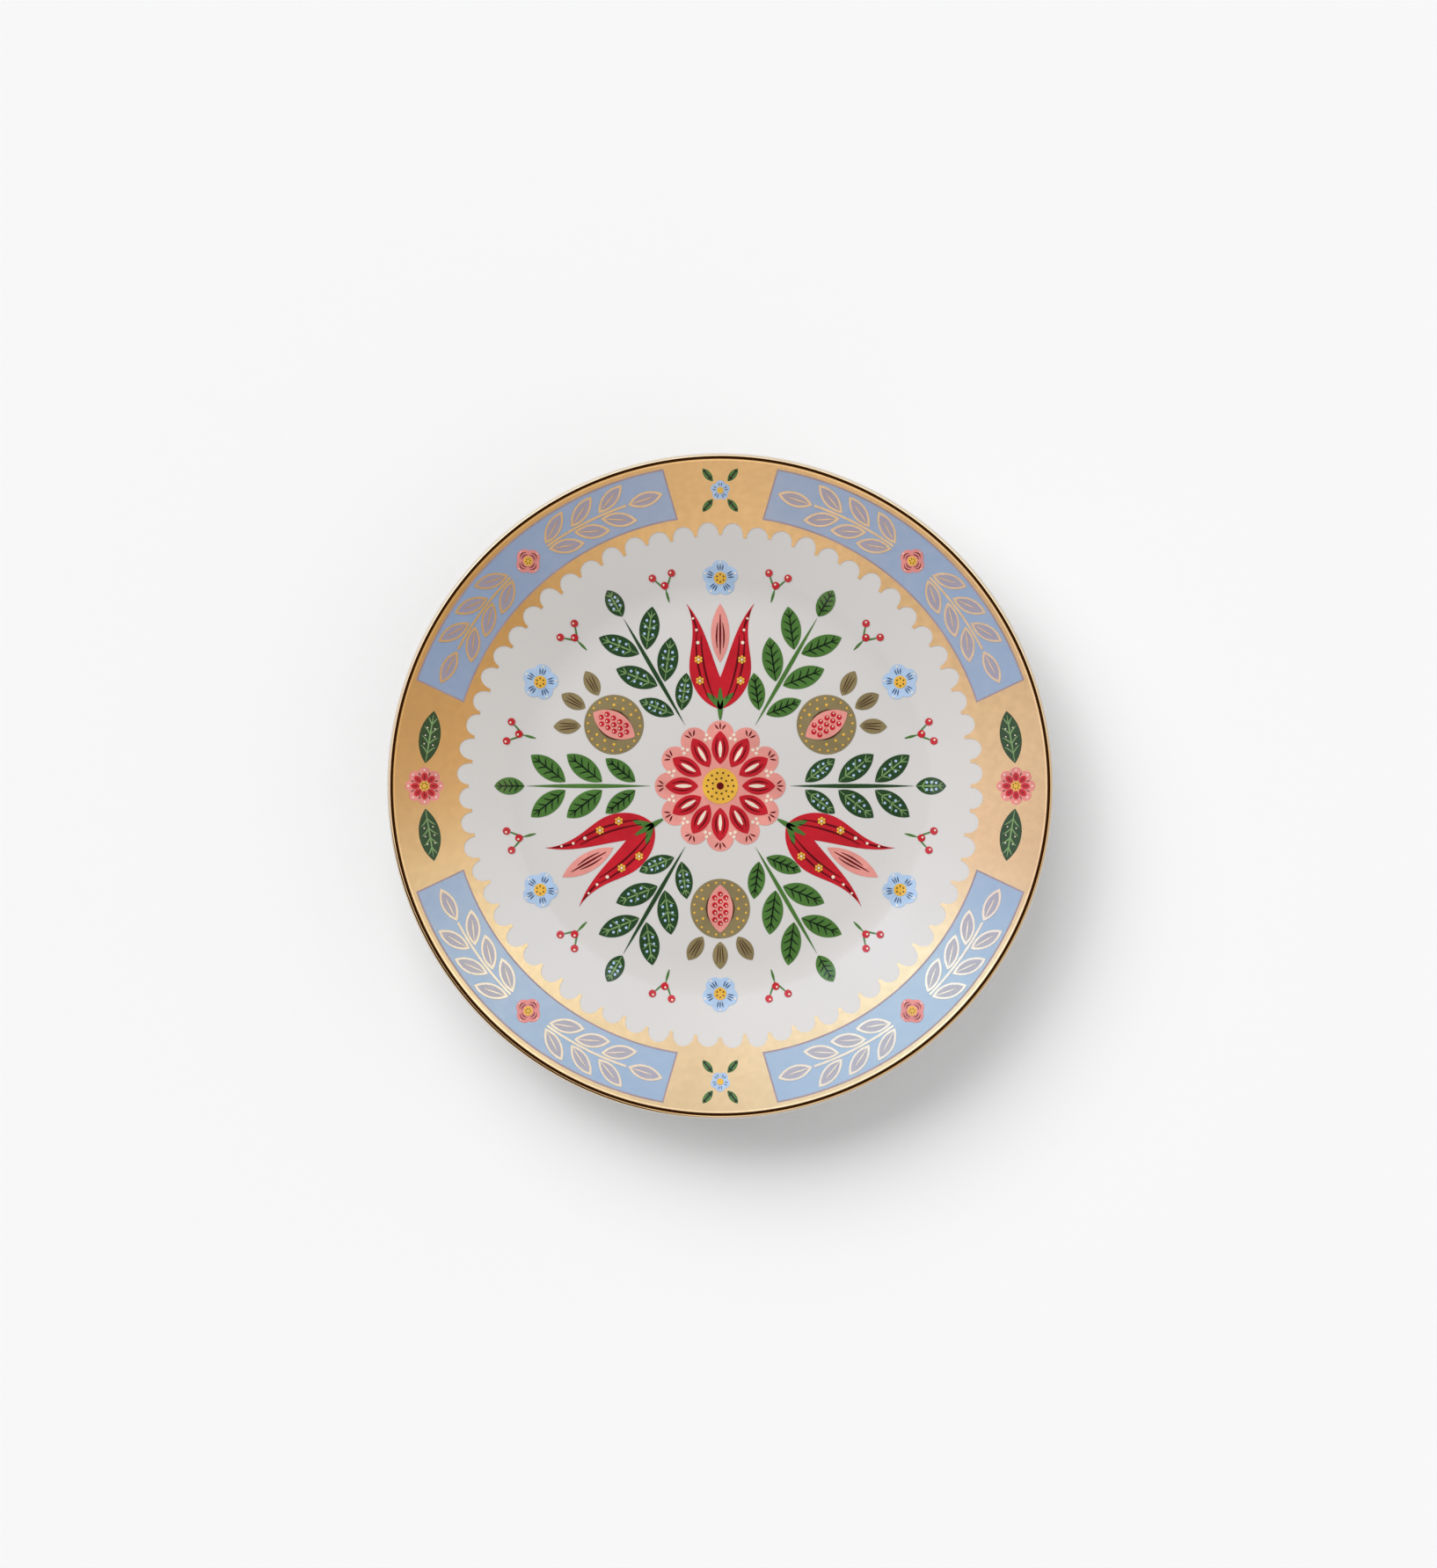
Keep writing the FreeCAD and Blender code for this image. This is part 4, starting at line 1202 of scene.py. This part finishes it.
# Heights, as sines, between which the room gets bright and between which its ceiling starts
ROOM_RISE = (0.15, 0.62)
CEILING_EDGE = (0.82, 0.84)
# Cosines of the angles from the middle of the dark side between which it starts
DARK_EDGE = (0.665, 0.71)
SENSOR_MM = 36.0


def world_light(stage):
    """Even light for the surfaces, and a room with a dark ceiling and a dark side for what is polished."""
    world = bpy.data.worlds.new("soft room")
    bpy.context.scene.world = world
    world.use_nodes = True
    world.node_tree.nodes.clear()
    made = Nodes(world.node_tree)
    heading = made.node("ShaderNodeTexCoord", output="Generated")
    across, along, up = (made.node("ShaderNodeSeparateXYZ", {0: heading}, axis) for axis in "XYZ")
    turn = made.reckon("ARCTAN2", along, across)
    sides = made.node("ShaderNodeValToRGB", {0: made.span(turn, -math.pi, math.pi)})
    ramp = sides.node.color_ramp
    ramp.elements.remove(ramp.elements[1])
    for number, (degrees, rgb) in enumerate(ROOM_SIDES):
        stop = ramp.elements.new((degrees + 180) / 360) if number else ramp.elements[0]
        stop.color = (*rgb, 1.0)
    lower = made.span(up, *ROOM_RISE, start=stage.low_room)
    walls = made.node("ShaderNodeVectorMath", {0: sides, "Scale": lower}, operation="SCALE")
    ceiling = made.span(up, *CEILING_EDGE, interpolation_type="SMOOTHSTEP")
    dark_side = made.span(made.towards(heading, stage.dark_azimuth), *DARK_EDGE)
    unlit = made.reckon("MAXIMUM", ceiling, dark_side)
    room = made.blend(unlit, walls, (*stage.ceiling, 1.0))
    even = 1.0 - stage.sun_share - stage.side_share
    less, more = even * (1 - stage.fill_share), even * (1 + stage.fill_share)
    ambient = made.span(made.towards(heading, stage.fill_azimuth), -1.0, 1.0, less, more)
    lit = made.blend(made.node("ShaderNodeLightPath", output="Is Glossy Ray"), ambient, room)
    camera_ray = made.node("ShaderNodeLightPath", output="Is Camera Ray")
    seen = made.blend(camera_ray, lit, (*stage.floor_colour, 1.0))
    background = made.node("ShaderNodeBackground", {"Color": seen, "Strength": 1.0})
    made.tree.links.new(background, made.tree.nodes.new("ShaderNodeOutputWorld").inputs["Surface"])


class DISH_OT_stage(bpy.types.Operator):
    """Makes the floor, the soft light and the camera"""

    bl_idname = "dish.stage"
    bl_label = "Stage"

    def execute(self, context):
        stage = context.scene.dish_stage
        self.floor(stage)
        self.light("soft_light", stage.sun_azimuth, stage.sun_elevation, stage.sun_spread, stage.sun_share)
        self.light("side_light", stage.side_azimuth, stage.side_elevation, stage.side_spread, stage.side_share)
        self.camera(context.scene, stage)
        world_light(stage)
        context.scene.view_settings.view_transform = "Standard"
        return {"FINISHED"}

    def floor(self, stage):
        mesh = bmesh.new()
        bmesh.ops.create_grid(mesh, x_segments=1, y_segments=1, size=stage.floor_size / 2)
        finish = Finish("pale floor")
        finish.shader.inputs["Base Color"].default_value = (*stage.floor_colour, 1.0)
        finish.shader.inputs["Roughness"].default_value = 1.0
        finish.shader.inputs["Specular IOR Level"].default_value = 0.0
        add_mesh("stage_floor", mesh, finish.material)

    def light(self, name, azimuth, elevation, spread, floor_share):
        """Soft light that gives a share of the light on the floor, and isn't mirrored."""
        lamp = bpy.data.lights.new(name, "SUN")
        lamp.angle = spread
        lamp.energy = floor_share * math.pi / math.sin(elevation)
        holder = add_object(name, lamp)
        level = polar(math.cos(elevation), azimuth)
        shine = Vector((-level.x, -level.y, -math.sin(elevation)))
        holder.rotation_euler = shine.to_track_quat("-Z", "Y").to_euler()
        holder.visible_glossy = False

    def camera(self, scene, stage):
        """Camera straight above, with the frame's height given at the lip."""
        data = bpy.data.cameras.new("camera")
        data.sensor_fit = "VERTICAL"
        data.sensor_height = SENSOR_MM
        data.lens = stage.lens
        holder = add_object("camera", data)
        distance = stage.frame_height * stage.lens / SENSOR_MM
        lip_height = scene.dish_sizes.dish_height - scene.dish_sizes.lip_radius
        holder.location = (-stage.camera_x, stage.camera_y, lip_height + distance)
        scene.camera = holder


class DISH_PT_panel(bpy.types.Panel):
    """Sidebar panel with the steps of the dish"""

    bl_idname = "DISH_PT_panel"
    bl_label = "Ring dish"
    bl_space_type = "VIEW_3D"
    bl_region_type = "UI"
    bl_category = "Dish"

    def draw(self, context):
        for operator in OPERATORS:
            self.layout.operator(operator.bl_idname)


OPERATORS = (
    DISH_OT_stage,
    DISH_OT_porcelain,
    DISH_OT_lip_gold,
    DISH_OT_border,
    DISH_OT_painted,
    DISH_OT_leaf_lines,
    DISH_OT_flower_lines,
    DISH_OT_fruit_lines,
    DISH_OT_rim_lines,
)
GROUPS = {
    "dish_sizes": DishSizes,
    "dish_decoration": DecorationSizes,
    "dish_colours": DishColours,
    "dish_stage": StageSettings,
}


def register():
    for made in (*GROUPS.values(), *OPERATORS, DISH_PT_panel):
        bpy.utils.register_class(made)
    for name, group in GROUPS.items():
        setattr(bpy.types.Scene, name, bpy.props.PointerProperty(type=group))


def unregister():
    for name in GROUPS:
        delattr(bpy.types.Scene, name)
    for made in (DISH_PT_panel, *reversed(OPERATORS), *reversed(GROUPS.values())):
        bpy.utils.unregister_class(made)


def main():
    register()
    bpy.ops.dish.stage()
    bpy.ops.dish.porcelain()
    bpy.ops.dish.lip_gold()
    bpy.ops.dish.border()
    bpy.ops.dish.painted()
    bpy.ops.dish.leaf_lines()
    bpy.ops.dish.flower_lines()
    bpy.ops.dish.fruit_lines()
    bpy.ops.dish.rim_lines()


if __name__ == "__main__":
    main()
